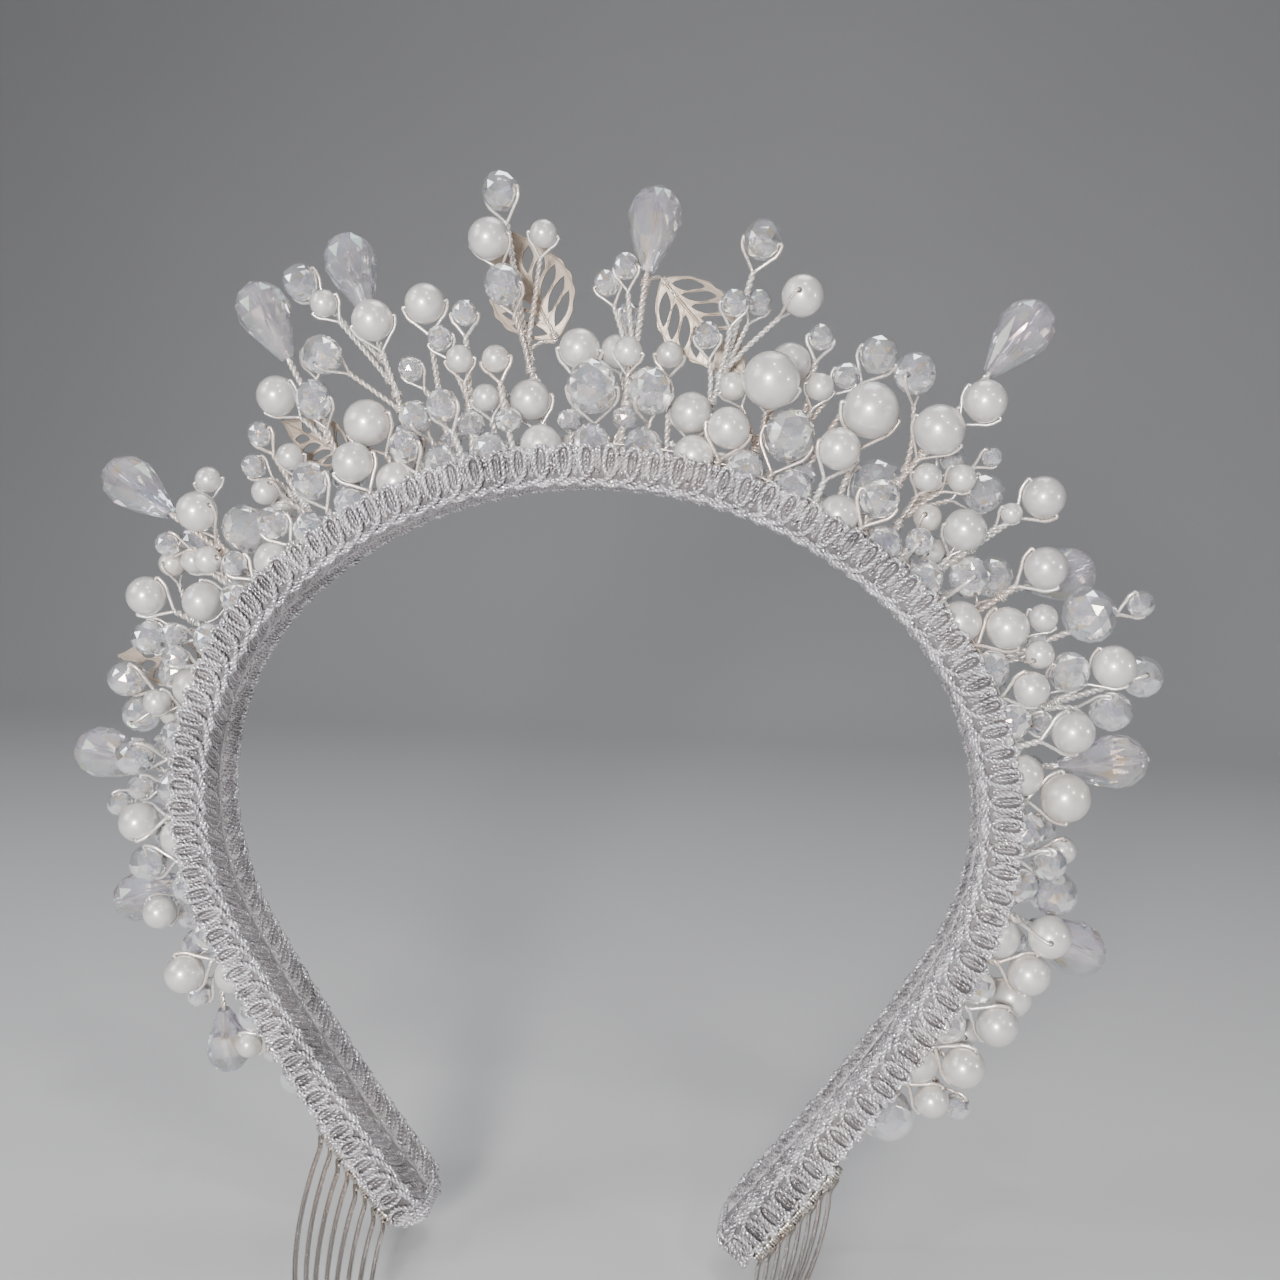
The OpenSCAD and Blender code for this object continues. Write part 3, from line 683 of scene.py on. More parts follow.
def twisted_pair(soup, path, bead, strand_r, u):
    """A twisted pair of wires along a path whose ends hold a bead."""
    end, side, lines = clasp(bead, u, strand_r)
    points = spline(np.vstack([path, end[None]]), 0.2)
    normals = carried(points)
    steps = np.linalg.norm(np.diff(points, axis=0), axis=1)
    turn = steps.sum() / TWIST * TAU
    t = tangents(points)[-1]
    n, b = normals[-1], np.cross(t, normals[-1])
    want = math.atan2(np.dot(side, b), np.dot(side, n))
    strands = plies(points, normals, strand_r * 0.96, TWIST, 2, want - turn)
    if bead["kind"] == "drops":
        coil(soup, bead["c"] + bead["axis"] * (bead["half"] + 0.08), bead["axis"], 0.28, 0.13, 1.6, 0.22)
    for strand, tail in zip(strands, lines):
        line = strand[0]
        rest = spline(np.vstack([line[-1][None], tail]), 0.22)
        whole = np.vstack([line, rest[1:]])
        tube(soup, whole, strand_r, 6)
    return points


def coil(soup, centre, axis, radius, wire_r, turns, pitch):
    """A tight coil of wire round a stem."""
    x, y, z = basis(axis)
    a = np.linspace(0, TAU * turns, int(turns * 14))
    line = centre + radius * (np.cos(a)[:, None] * x + np.sin(a)[:, None] * y)
    line = line + np.outer((a / TAU - turns / 2) * pitch, z)
    tube(soup, line, wire_r, 6)


def bow(u, length):
    side = turned(across(u), u, rng.uniform(0, TAU))
    return side * min(0.45, 0.02 * length) * rng.uniform(0.3, 1.0)


def near_line(line, point):
    """The nearest point of a sampled line, as (distance, index)."""
    d = np.linalg.norm(line - point, axis=1)
    i = int(d.argmin())
    return d[i], i


stem_lines = []


def build_wires(name):
    """Rebuilds a region's wires as twisted pairs that hold their beads."""
    region = name[: -len("_wires")]
    beads = []
    for kind in ("pearls", "crystals", "drops"):
        if f"{region}_{kind}" in NODES:
            beads += find_beads(f"{region}_{kind}", kind)
    wires = find_wires(name)
    join(wires, beads)
    soup = Soup()
    stems = [w for w in wires if w["r"] > STEM_FROM]
    for w in stems:
        length = np.linalg.norm(w["to"] - w["from"])
        root = w["from"] - w["u"] * 1.3
        mid = (w["from"] + w["to"]) / 2 + bow(w["u"], length)
        w["line"] = twisted_pair(soup, np.array([root, w["from"], mid]), w["bead"], STRAND["stem"], w["u"])
        stem_lines.append(w["line"])
    twigs = [w for w in wires if w["r"] <= STEM_FROM]
    for w in twigs:
        w["stem"] = min(stems, key=lambda s: near_line(s["line"], w["from"])[0])
        w["at"] = near_line(w["stem"]["line"], w["from"])[1]
    for w in sorted(twigs, key=lambda w: w["at"]):
        line, i = w["stem"]["line"], w["at"]
        t = tangents(line)[i]
        side = unit(w["u"] - t * np.dot(w["u"], t))
        lowest = not w["stem"].get("bundled")
        w["stem"]["bundled"] = True
        length = np.linalg.norm(w["to"] - w["from"])
        knots = []
        if lowest and i > 24:
            ids = np.arange(4, i - 10, 6)
            turn = (ids - i) * 0.2 / 8.0 * TAU * (1 if rng.random() < 0.5 else -1)
            for k, a in zip(ids, turn):
                knots.append(line[k] + 0.78 * turned(side, t, a))
        else:
            knots.append(line[max(i - 8, 0)] + 0.5 * side)
        knots.append(line[max(i - 2, 0)] + 0.8 * side)
        knots.append(w["from"] + w["u"] * 0.35 * length + bow(w["u"], length) * 0.6)
        twisted_pair(soup, np.array(knots), w["bead"], STRAND["twig"], w["u"])
        coil(soup, line[max(i - 4, 0)] + side * 0.2, t, 0.72, 0.17, 2.2, 0.36)
    for bead in beads:
        if "wire" not in bead:
            line = min((s["line"] for s in stems), key=lambda s: near_line(s, bead["c"])[0])
            bead["drill"] = tangents(line)[near_line(line, bead["c"])[1]]
    soup.piece(f"{region}_twisted_wires", WIRE, "craft_wire", name)
    for kind, look, slot, add in (
        ("pearls", PEARL, "pearl", add_pearl),
        ("crystals", CRYSTAL, "crystal", add_crystal),
        ("drops", DROP, "drop", None),
    ):
        chosen = [b for b in beads if b["kind"] == kind]
        if not chosen:
            continue
        soup = Soup()
        for b in chosen:
            if kind == "drops":
                add_drop(soup, b)
            else:
                add(soup, b, b["drill"])
        soup.piece(f"{region}_{kind[:-1]}_beads", look, slot, f"{region}_{kind}", smooth=kind == "pearls")


for name in sorted(NODES):
    if name.endswith("_wires"):
        build_wires(name)

# ---- Base rows, strung along the band ----

row_beads = {"rear": [], "front": []}
for row, kind, look, slot in (
    ("rear", "pearls", PEARL, "pearl"),
    ("rear", "crystals", CRYSTAL, "crystal"),
    ("front", "pearls", PEARL, "pearl"),
    ("front", "crystals", CRYSTAL, "crystal"),
):
    node = f"base_{kind}_{row}"
    soup = Soup()
    for b in find_beads(node, kind):
        s = min(np.arange(-125, 125.1, 0.2),
                key=lambda s: abs(np.dot(b["c"] - place(s, b["r"] + OUTER, b["c"][1]), along(s)))
                + np.linalg.norm(b["c"] - place(s, b["r"] + OUTER, b["c"][1])))
        row_beads[row].append((s, b))
        axis = turned(along(s), outward(s), rng.uniform(-0.2, 0.2))
        (add_pearl if kind == "pearls" else add_crystal)(soup, b, axis)
    soup.piece(f"base_{row}_{kind[:-1]}_beads", look, slot, node, smooth=kind == "pearls")

soup = Soup()
for row, beads in row_beads.items():
    beads.sort(key=lambda x: x[0])
    for (s0, a), (s1, b) in zip(beads[:-1], beads[1:]):
        t0, t1 = along(s0), along(s1)
        mid = (a["c"] + b["c"]) / 2 + outward((s0 + s1) / 2) * rng.uniform(-0.2, 0.3)
        tube(soup, spline([a["c"] + t0 * a["r"] * 0.6, mid, b["c"] - t1 * b["r"] * 0.6], 0.3), 0.15, 6)
for k in range(-34, 35, 2):
    s = k * 3.4 + rng.uniform(0.7, 1.1)
    wobble = rng.uniform(-0.25, 0.25, 5)
    line = [(s, 2.6, -5.2), (s + wobble[0], 4.2, 0.3 + wobble[1]), (s + wobble[2], 2.6, 5.2)]
    tube(soup, spline([place(*p) for p in line], 0.3), 0.15, 6)
soup.piece("base_row_wires", WIRE, "craft_wire")

# ---- Looped braid ----

BRAID_PITCH = 3.1
PLY = 0.21
BARE_FROM = 121.0  # past this station there are no base beads, and the loops are wider
FACE = HALF_W - 0.42  # depth at which the loops lie on a narrow face
# One stitch on a narrow face: station from the loop's middle, reach, and height over the face.
# It comes up from the inner edge one pitch back, runs out, turns at the outer edge and dives under.
STITCH = [(-3.5, 0.2, -1.1), (-3.15, 0.0, -0.25), (-2.4, 0.15, 0.22), (-1.2, 0.5, 0.5), (0.05, 1.05, 0.62),
          (0.7, 1.95, 0.56), (0.93, 3.2, 0.42), (0.86, 4.6, 0.34), (0.36, 5.45, 0.28), (-0.28, 5.45, 0.28),
          (-0.8, 4.6, 0.3), (-0.92, 3.2, 0.26), (-0.8, 2.0, 0.16), (-0.34, 1.2, 0.0), (0.35, 0.85, -0.2)]


def cast(soup, hand, s, knots, strand):
    """A cord laid on the face along one edge of the band, that faces back or front."""
    k = np.array(knots) + rng.normal(0, 0.06, (len(knots), 3)) * (1, 1, 0.5)
    lay = spline(k, 0.22)
    pts = place(s + lay[:, 0], lay[:, 1], hand * (FACE + lay[:, 2]))
    normals = np.broadcast_to([0.0, hand, 0.0], pts.shape)
    cord(soup, pts, normals, strand, rng.uniform(0, TAU))


def face_ring(soup, hand, s, centre, half, wide, strand, lift=0.0):
    """A closed oval of cord on the same face."""
    count = max(int((4 * half + 3 * wide) / 0.24), 12)
    t = np.arange(count) * TAU / count
    pts = place(s + wide * np.sin(t), centre + half * np.cos(t), hand * (FACE + lift))
    cord(soup, pts, np.broadcast_to([0.0, hand, 0.0], pts.shape), strand, rng.uniform(0, TAU), True)


def inner_loop(soup, hand, s, cross, half, wide, slant, strand, lift=0.0):
    """A closed loop of cord on the head-side face, leaning by slant."""
    count = max(int((4 * half + 3 * wide) / 0.26), 14)
    t = np.arange(count) * TAU / count
    st = s + wide * np.sin(t) - slant * (1 - np.cos(t)) / 2
    pts = place(st, 0.32 - lift + 0.1 * np.cos(2 * t), hand * (cross + half * np.cos(t)))
    cord(soup, pts, -outward(st), strand, rng.uniform(0, TAU), True)


def build_braid(row, hand):
    edge, inner, filler = Soup(), Soup(), Soup()
    count = int(ARM_END / BRAID_PITCH)
    for k in range(-count, count + 1):
        s = k * BRAID_PITCH + rng.uniform(-0.15, 0.15)
        size = rng.uniform(0.94, 1.05)
        bare = abs(s) >= BARE_FROM
        wide = 1.08 if bare else 1.0
        knots = [(ds * (wide * size if ds > -1 else 1), min(r * 0.94, 4.9) if bare else r, up)
                 for ds, r, up in (STITCH if k > -count else STITCH[4:])]
        cast(edge, hand, s, knots, PLY)
        face_ring(filler, hand, s, 3.3 + rng.uniform(-0.15, 0.15), 1.5 * size, 0.24, PLY * 0.7, 0.0)
        if k == -count:
            continue
        inner_loop(inner, hand, s - 1.2, 2.95, 2.5 * size, 1.2, 2.2, PLY, rng.uniform(-0.04, 0.06))
        inner_loop(inner, hand, s - 1.2, 2.9, 1.7, 0.5, 1.5, PLY, -0.06)
        face_ring(filler, hand, s + 1.55, 2.95, 1.4 * size, 0.24, PLY * 0.85, 0.05)
        inner_loop(filler, hand, s + 0.35, 2.7, 2.3, 0.34, 2.4, PLY * 0.9, -0.1)
        if bare:
            face_ring(edge, hand, s + 1.5, 5.0, 0.4, 0.45, PLY * 1.1, 0.25)
        else:
            face_ring(edge, hand, s + 1.5, 4.9, 0.3, 0.26, PLY * 0.9, 0.0)
    st = np.arange(-ARM_END, ARM_END, 0.24)
    phase = TAU * st / BRAID_PITCH
    pts = place(st, 0.4 - 0.3 * np.cos(phase + 0.8), hand * (5.5 + 0.26 * np.cos(phase)))
    cord(edge, pts, unit(np.array([0.0, hand, 0.0]) - outward(st)), PLY * 1.25)
    edge.piece(f"braid_{row}_edge_loops", THREAD, "braid", f"braid_{row}")
    # The head-side loops and the filler loops take the darker thread, which is painted shade.
    inner.piece(f"braid_{row}_inner_loops", SHADED_THREAD, "braid", f"braid_{row}")
    filler.piece(f"braid_{row}_filler_loops", SHADED_THREAD, "braid", f"braid_{row}")


build_braid("rear", -1)
build_braid("front", 1)

# ---- Padding and backing ribbon ----


def sweep(soup, section, stations):
    """A closed section, as (reach, depth) rows, or a function of the station, along the band."""
    rows = []
    for s in stations:
        sec = np.asarray(section(s) if callable(section) else section, float)
        rows.append(place(np.full(len(sec), s), sec[:, 0], sec[:, 1]))
    n = len(rows[0])
    base = np.vstack(rows)
    soup.add(base, grid_faces(len(rows), n)[:, ::-1])
    for row, flip in ((0, False), (len(rows) - 1, True)):
        centre = rows[row].mean(0)
        j = np.arange(n)
        tri = np.stack([j, (j + 1) % n, np.full(n, n)], -1)
        soup.add(np.vstack([rows[row], centre]), tri[:, ::-1] if flip else tri)


def padding_section(s):
    """Rounded bar with a crowned outer face. Each wrap of the ribbon stands a little proud of the last."""
    wrap = 0.18 * ((s / 9.0) % 1.0)
    t = np.arange(28) * TAU / 28
    c, z = np.cos(t), np.sin(t)
    depth = 5.15 * np.sign(c) * np.abs(c) ** 0.35
    reach = 1.75 + 1.25 * np.sign(z) * np.abs(z) ** 0.5 + np.where(z > 0.2, wrap, 0)
    return np.stack([reach, depth], -1)


soup = Soup()
sweep(soup, padding_section, np.arange(-ARM_END, ARM_END + 0.1, 0.75))
padding = soup.piece("band_padding_ribbon", SATIN, "padding", "band_padding")

FACE_TAPE = [(0.7, 5.2), (5.0, 5.2), (5.15, 5.35), (5.0, 5.5), (0.6, 5.5), (0.45, 5.35)]
LINING_TAPE = [(0.24, 0.05), (0.5, 0.05), (0.5, 5.3), (0.34, 5.4), (0.24, 5.2)]
# Both tapes carry painted shade: very dark between the loops on the narrow faces, and darker than the
# thread on the head-side face.
for piece_name, tape, look in (("braid_backing_tape", FACE_TAPE, SHADED_TAPE),
                               ("braid_lining_tape", LINING_TAPE, SHADED_LINING)):
    soup = Soup()
    for hand in (-1, 1):
        sweep(soup, [(r, hand * d) for r, d in tape][::hand], np.arange(-ARM_END, ARM_END + 0.1, 1.0))
    soup.piece(piece_name, look, "braid", "braid_rear", "braid_front")

# ---- Tip caps ----

for side_name, hand in (("left", -1), ("right", 1)):
    soup = Soup()

    def cap_section(s):
        q = (abs(s) - ARM_END) / 3.0
        k = math.sqrt(max(1 - q**4, 0.02))
        t = np.arange(28) * TAU / 28
        c, z = np.cos(t), np.sin(t)
        return np.stack([2.7 + 2.35 * k * np.sign(z) * np.abs(z) ** 0.6,
                         5.3 * k * np.sign(c) * np.abs(c) ** 0.55], -1)

    st = hand * (ARM_END + np.linspace(-0.4, 2.85, 9))
    sweep(soup, cap_section, st if hand > 0 else st[::-1])
    for k, s in enumerate((152.3, 153.1, 153.9, 154.5)):
        q = (s - ARM_END) / 3.0
        f = math.sqrt(max(1 - q**4, 0.05))
        t = np.arange(110) * TAU / 110
        c, z = np.cos(t), np.sin(t)
        reach = 2.7 + (2.5 * f) * np.sign(z) * np.abs(z) ** 0.6
        depth = (5.5 * f) * np.sign(c) * np.abs(c) ** 0.55
        pts = place(hand * (s + 0.25 * np.sin(3 * t + k)), reach, depth)
        pts = resampled(pts, 0.3, closed=True)
        centre = pts.mean(0)
        cord(soup, pts, unit(pts - centre), 0.24, rng.uniform(0, TAU), True)
    soup.piece(f"tip_cap_{side_name}_wraps", THREAD, "cap_braid", f"tip_cap_{side_name}")

# ---- Combs ----

COMB_STATION, COMB_PITCH, TEETH = 143.5, 4.4, 4
TOOTH_LEN, PRONG_HALF_GAP, BOW = 34.0, 1.0, math.radians(14)
RAIL_REACH, RAIL_DEPTH, RAIL_R = 6.4, -3.6, 0.6
LEAN, TOE_IN = math.radians(22), math.radians(20)
TOOTH_R = 0.38
EYE_R, EYE_TURNS = 0.92, 1.25  # the turns that each prong takes round the rail
WINDING_R, WINDING_REACH, WINDING_PITCH = 0.19, 0.78, 0.42


def build_comb(side_name, hand):
    stations = COMB_STATION + (np.arange(TEETH) - (TEETH - 1) / 2) * COMB_PITCH
    tilt = float(band_angle(COMB_STATION))
    back = np.array([0, -math.cos(LEAN), -math.sin(LEAN)])
    out = unit(np.cross(back, [math.cos(tilt), 0, -math.sin(tilt)]))
    z = math.cos(TOE_IN) * back - math.sin(TOE_IN) * out
    x = math.cos(TOE_IN) * out + math.sin(TOE_IN) * back
    y = np.cross(z, x)
    flip = np.array([hand, 1, 1])
    soup = Soup()
    bow_r = TOOTH_LEN / 2 / math.sin(BOW)
    root = RAIL_R + 0.05
    for s in stations:
        at = place(s, RAIL_REACH, RAIL_DEPTH)
        length = TOOTH_LEN + rng.uniform(-0.5, 0.3)
        local = []
        for t in np.linspace(-EYE_TURNS * TAU, 0, 18):
            local.append((EYE_R * math.cos(t), PRONG_HALF_GAP + 0.35 * t / TAU, EYE_R * math.sin(t)))
        for t in np.linspace(-BOW * 0.86, BOW, 12):
            run = root + length / 2 + bow_r * math.sin(t) * length / TOOTH_LEN
            local.append((bow_r * (math.cos(t) - math.cos(BOW)), PRONG_HALF_GAP, run))
        for t in np.linspace(0.3, math.pi - 0.3, 7):
            up = math.sin(t)
            local.append((-math.sin(BOW) * up, math.cos(t), root + length + math.cos(BOW) * up))
        half = len(local) - 7
        local += [(px, -py, pz) for px, py, pz in local[:half][::-1]]
        sway = rng.uniform(-0.35, 0.35)
        pts = np.array([at + px * x + (py + sway * (pz / TOOTH_LEN) ** 2) * y + pz * z
                        for px, py, pz in local])
        tube(soup, spline(pts * flip, 0.45), TOOTH_R, 8)
    ends = np.linspace(stations[0] - 2.4, stations[-1] + 2.4, 80)
    rail = place(ends, RAIL_REACH, RAIL_DEPTH) * flip
    tube(soup, rail, RAIL_R, 10)
    soup.piece(f"comb_{side_name}_teeth_and_rail", COMB_WIRE, "comb_wire",
               f"comb_teeth_{side_name}", f"comb_rail_{side_name}")

    soup = Soup()
    turns = (ends[-1] - ends[0]) / WINDING_PITCH
    t = np.linspace(0, 1, int(turns * 10))
    st = ends[0] + (ends[-1] - ends[0]) * t
    turn = t * turns * TAU
    wob = 0.05 * np.sin(st * 2.1)
    radial = np.cos(turn)[:, None] * outward(st) + np.sin(turn)[:, None] * np.array([0.0, 1.0, 0.0])
    line = place(st, RAIL_REACH, RAIL_DEPTH) + (WINDING_REACH + wob)[:, None] * radial
    tube(soup, line * flip, WINDING_R, 5, False, radial * flip)
    soup.piece(f"comb_{side_name}_binding", COMB_WIRE, "comb_wire", f"comb_winding_{side_name}")

    def pad_section(s):
        fold = 0.12 * math.sin(s * 1.9) + 0.08 * math.sin(s * 4.3 + 1)
        t = np.arange(24) * TAU / 24
        c, w = np.cos(t), np.sin(t)
        return np.stack([4.15 + (1.05 + fold * 0.5) * np.sign(w) * np.abs(w) ** 0.55,
                         -2.75 + 2.35 * np.sign(c) * np.abs(c) ** 0.5], -1)

    soup = Soup()
    st = hand * np.linspace(stations[0] - 1.6, stations[-1] + 1.6, 90)
    sweep(soup, pad_section, st if hand > 0 else st[::-1])
    soup.piece(f"comb_{side_name}_ribbon_pad", RIBBON, "comb_ribbon", f"comb_pad_{side_name}")


build_comb("left", -1)
build_comb("right", 1)

# ---- Openwork leaves ----


def leaf_half(t):
    return np.sin(np.pi * np.power(t, 0.8)) * (1 - 0.25 * t)


def almond(p0, p1, half):
    """A pointed oval between two points."""
    p0, p1 = np.array(p0), np.array(p1)
    n = np.array([-(p1 - p0)[1], (p1 - p0)[0]])
    n = n / np.linalg.norm(n)
    u = np.linspace(0, 1, 9)
    bulge = half * np.sin(np.pi * u) ** 0.8
    one = [p0 + (p1 - p0) * a + n * b for a, b in zip(u, bulge)]
    two = [p0 + (p1 - p0) * a - n * b for a, b in zip(u[-2:0:-1], bulge[-2:0:-1])]
    return one + two


def build_leaf(node, stalk, tip, width, veins, curl):
    a, b = place(*stalk), place(*tip)
    v = b - a
    length = math.hypot(v[0], v[2])
    up = np.array([v[0], 0, v[2]]) / length
    right = np.array([up[2], 0, -up[0]])
    curve = bpy.data.curves.new(node + "_outline", "CURVE")
    curve.dimensions, curve.fill_mode = "2D", "BOTH"
    curve.extrude, curve.bevel_depth, curve.bevel_resolution = 0.12, 0.07, 1

    def outline(points):
        sp = curve.splines.new("POLY")
        sp.points.add(len(points) - 1)
        for p, q in zip(sp.points, points):
            p.co = (q[0], q[1], 0, 1)
        sp.use_cyclic_u = True

    t = np.linspace(0, 1, 41)[1:-1]
    scallop = 1 + 0.025 * np.cos(t * TAU * (veins + 1))
    one = [(leaf_half(k) * width / 2 * q, k * length) for k, q in zip(t, scallop)]
    two = [(-x, y) for x, y in one[::-1]]
    outline([(0, 0)] + one + [(0, length)] + two)
    gap = 0.80 / veins
    for hand in (-1, 1):
        for k in range(veins):
            t0 = 0.07 + k * gap + (0.02 if hand > 0 else 0)
            t1 = min(t0 + 0.19, 0.93)
            x1 = hand * (leaf_half(t1) * width / 2 - 0.06 * width)
            x0 = hand * 0.05 * width
            if abs(x1) < abs(x0) + 0.1 * width:
                continue
            outline(almond((x0, t0 * length), (x1, t1 * length), 0.42 * gap * length))
    flat = bpy.data.objects.new(node + "_flat", curve)
    bpy.context.scene.collection.objects.link(flat)
    bpy.context.view_layer.update()
    dg = bpy.context.evaluated_depsgraph_get()
    mesh = bpy.data.meshes.new_from_object(flat.evaluated_get(dg))
    bpy.data.objects.remove(flat)
    bm = bmesh.new()
    bm.from_mesh(mesh)
    bmesh.ops.remove_doubles(bm, verts=bm.verts, dist=0.001)
    for axis, span in (((1, 0, 0), width / 2), ((0, 1, 0), length)):
        for q in np.linspace(-span if axis[0] else 0, span, 12)[1:-1]:
            co = [q * c for c in axis]
            bmesh.ops.bisect_plane(bm, geom=bm.verts[:] + bm.edges[:] + bm.faces[:], dist=1e-5,
                                   plane_co=co, plane_no=axis)
    bm.to_mesh(mesh)
    bm.free()
    co = np.empty(len(mesh.vertices) * 3, np.float32)
    mesh.vertices.foreach_get("co", co)
    co = co.reshape(-1, 3).astype(float)

    def bent(x, y, z):
        """Cups the blade across and curls it along, and sets it on the tiara."""
        lift = z + curl * ((2 * x / width) ** 2) * 0.9 - curl * 1.4 * (y / length - 0.4) ** 2
        return a + np.outer(x, right) + np.outer(y, up) - np.outer(lift, [0, 1, 0])

    out = bent(co[:, 0], co[:, 1], co[:, 2]) / 1000
    mesh.vertices.foreach_set("co", out.astype(np.float32).ravel())
    mesh.update()
    mesh.polygons.foreach_set("use_smooth", np.zeros(len(mesh.polygons), bool))
    finished(node + "_blade", mesh, LEAF, "leaf", node)
    soup = Soup()
    t = np.linspace(0.0, 0.93, 24)
    rib = bent(np.zeros_like(t), t * length, np.full_like(t, 0.16))
    tube(soup, rib, 0.28 - 0.16 * t, 6)
    for sign in (1, -1):
        t = np.linspace(0.0, 1, 50)
        rim = bent(sign * (leaf_half(t) * width / 2 - 0.22), t * length, np.full_like(t, 0.12))
        tube(soup, rim, 0.15, 6)
    for hand in (-1, 1):
        for k in range(veins):
            t0 = 0.07 + (k + 0.55) * gap + (0.02 if hand > 0 else 0)
            t1 = min(t0 + 0.19, 0.95)
            q = np.linspace(0, 1, 8)
            x = hand * (q * (leaf_half(t1) * width / 2 - 0.3))
            y = (t0 + (t1 - t0) * q ** 0.9) * length
            tube(soup, bent(x, y, np.full_like(q, 0.13)), 0.1, 5)
    soup.piece(node + "_veins", LEAF, "leaf", node)
    line = min(stem_lines, key=lambda s: near_line(s, a)[0])
    i = near_line(line, a)[1]
    j = max(i - 12, 1)
    soup = Soup()
    side = unit(a - line[i])
    knots = np.array([line[j] + side * 0.5, line[max(i - 4, 2)] + side * 0.6, (line[i] + a) / 2, a,
                      bent(np.array([0.0]), np.array([0.18 * length]), np.array([0.5]))[0]])
    points = spline(knots, 0.2)
    for strand in plies(points, carried(points), 0.15, TWIST):
        tube(soup, strand[0], 0.155, 6)
    coil(soup, a + up * 0.6, up, 0.55, 0.14, 3.2, 0.32)
    coil(soup, line[max(i - 4, 2)], tangents(line)[i], 0.62, 0.14, 3.2, 0.32)
    soup.piece(node + "_tie_wire", WIRE, "craft_wire")


build_leaf("leaf_left", (-5, 22, 4), (-10, 40, 4), 14, 7, 0.9)
build_leaf("leaf_right", (6, 31, 4), (17, 19, 4), 12, 7, -0.7)
build_leaf("leaf_small", (-33, 14, 4), (-38, 24, 4), 8, 5, 0.5)
build_leaf("leaf_side", (-66, 8, 4), (-69, 22, 4), 9, 5, 0.5)

# ---- The spring strip stays as its CAD node ----

strip = NODES["band_strip"].data
strip.materials.clear()
strip.materials.append(STEEL)

# ---- Stage ----

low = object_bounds()[0].z
profile = [(-1.6, 0.0)] + [(y, 0.0) for y in np.linspace(-1.2, 0.55, 8)]
sweep_r = 0.45
for t in np.linspace(0, math.pi / 2, 17)[1:]:
    profile.append((0.55 + sweep_r * math.sin(t), sweep_r * (1 - math.cos(t))))
profile += [(1.0, 0.9), (1.0, 1.8)]
backdrop_x = (-2.2, -0.8, 0.8, 2.2)
corners = [(x, y, low - 0.0005 + z) for y, z in profile for x in backdrop_x]
floor_look = Look("backdrop_paper", Roughness=0.85)
floor_look.drive("Base Color", floor_look.ramp(floor_look.noise(3, 2), (0.3, (0.66, 0.66, 0.67)),
                                               (0.7, (0.69, 0.69, 0.70))))
mesh = bpy.data.meshes.new("backdrop")
mesh.from_pydata(corners, [], grid_faces(len(profile), len(backdrop_x), wrap_cols=False).tolist())
mesh.polygons.foreach_set("use_smooth", np.ones(len(mesh.polygons), bool))
mesh.materials.append(floor_look.material)
backdrop = bpy.data.objects.new("backdrop", mesh)
bpy.context.scene.collection.objects.link(backdrop)

# ---- Light ----


def area_light(name, at, target, size, power, colour):
    lamp = bpy.data.lights.new(name, "AREA")
    lamp.energy, lamp.color, lamp.size = power, colour, size
    ob = bpy.data.objects.new(name, lamp)
    ob.location = at
    ob.rotation_mode = "QUATERNION"
    ob.rotation_quaternion = (Vector(target) - Vector(at)).to_track_quat("-Z", "Y")
    bpy.context.scene.collection.objects.link(ob)
    return ob


AIM = (0.0, 0.0, -0.04)
area_light("key_lamp", (-0.05, -0.42, 0.01), AIM, 0.085, 2.5, (1.0, 0.985, 0.96))
area_light("left_window", (-0.45, -0.28, 0.22), AIM, 0.25, 0.9, (0.92, 0.95, 1.0))
area_light("top_softbox", (0.05, 0.12, 0.5), AIM, 0.3, 0.9, (0.97, 0.98, 1.0))
for k, at in enumerate([(0.26, -0.33, 0.20), (-0.20, -0.36, -0.14), (0.10, -0.24, 0.38),
                        (-0.30, -0.10, 0.34), (0.40, -0.12, 0.02)]):
    area_light(f"spark_{k}", at, AIM, 0.035, 0.22, (1.0, 0.99, 0.97))

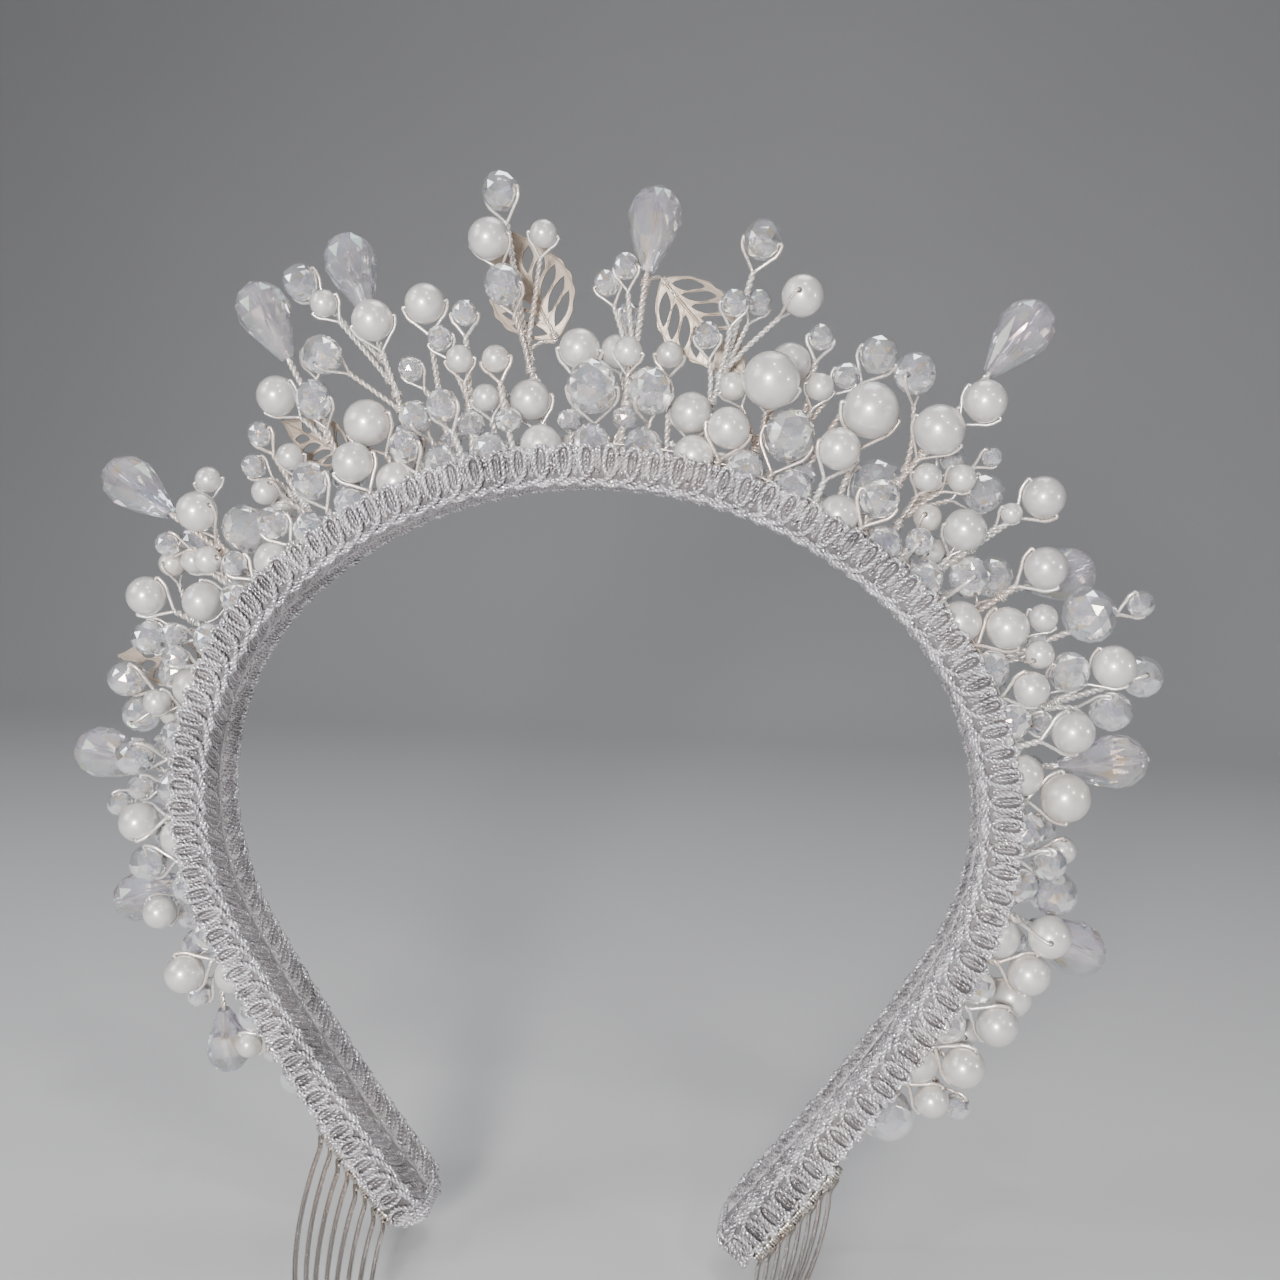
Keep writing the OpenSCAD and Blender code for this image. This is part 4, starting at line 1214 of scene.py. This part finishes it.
world = bpy.data.worlds.new("studio")
bpy.context.scene.world = world
world.use_nodes = True
tree = world.node_tree
tree.nodes.clear()
out = tree.nodes.new("ShaderNodeOutputWorld")
background = tree.nodes.new("ShaderNodeBackground")
ramp = tree.nodes.new("ShaderNodeValToRGB")
split = tree.nodes.new("ShaderNodeSeparateXYZ")
coords = tree.nodes.new("ShaderNodeTexCoord")
tree.links.new(coords.outputs["Generated"], split.inputs[0])
rescale = tree.nodes.new("ShaderNodeMath")
rescale.operation = "MULTIPLY_ADD"
rescale.inputs[1].default_value = 0.5
rescale.inputs[2].default_value = 0.5
tree.links.new(split.outputs["Z"], rescale.inputs[0])
tree.links.new(rescale.outputs[0], ramp.inputs[0])
stops = ramp.color_ramp.elements
stops[0].position, stops[0].color = 0.30, (0.06, 0.06, 0.07, 1)
stops[1].position, stops[1].color = 0.85, (0.60, 0.61, 0.64, 1)
extra = stops.new(0.52)
extra.color = (0.16, 0.16, 0.17, 1)
tree.links.new(ramp.outputs[0], background.inputs[0])
background.inputs[1].default_value = 0.36
tree.links.new(background.outputs[0], out.inputs[0])

# ---- Camera, at the photograph's place and angle ----

YAW, PITCH, ROLL = math.radians(6.82), math.radians(3.77), math.radians(1.57)
SENSOR = 36
FOCAL = 1342 / 1280 * SENSOR * 0.925  # fitted to a 1280 pixel frame, then widened a little
CAMERA_AT = (0.02905, -0.1800, -0.01026)
forward = Vector((-math.sin(YAW) * math.cos(PITCH), math.cos(YAW) * math.cos(PITCH), -math.sin(PITCH)))
right = Vector((math.cos(YAW), math.sin(YAW), 0))
upward = right.cross(forward)
right_rolled = right * math.cos(ROLL) + upward * math.sin(ROLL)
up_rolled = upward * math.cos(ROLL) - right * math.sin(ROLL)
camera = bpy.data.objects.new("camera", bpy.data.cameras.new("camera"))
camera.data.lens, camera.data.sensor_width = FOCAL, SENSOR
camera.data.clip_start = 0.01
camera.rotation_mode = "QUATERNION"
camera.rotation_quaternion = Matrix((right_rolled, up_rolled, -forward)).transposed().to_quaternion()
camera.location = CAMERA_AT
bpy.context.scene.collection.objects.link(camera)
bpy.context.scene.camera = camera
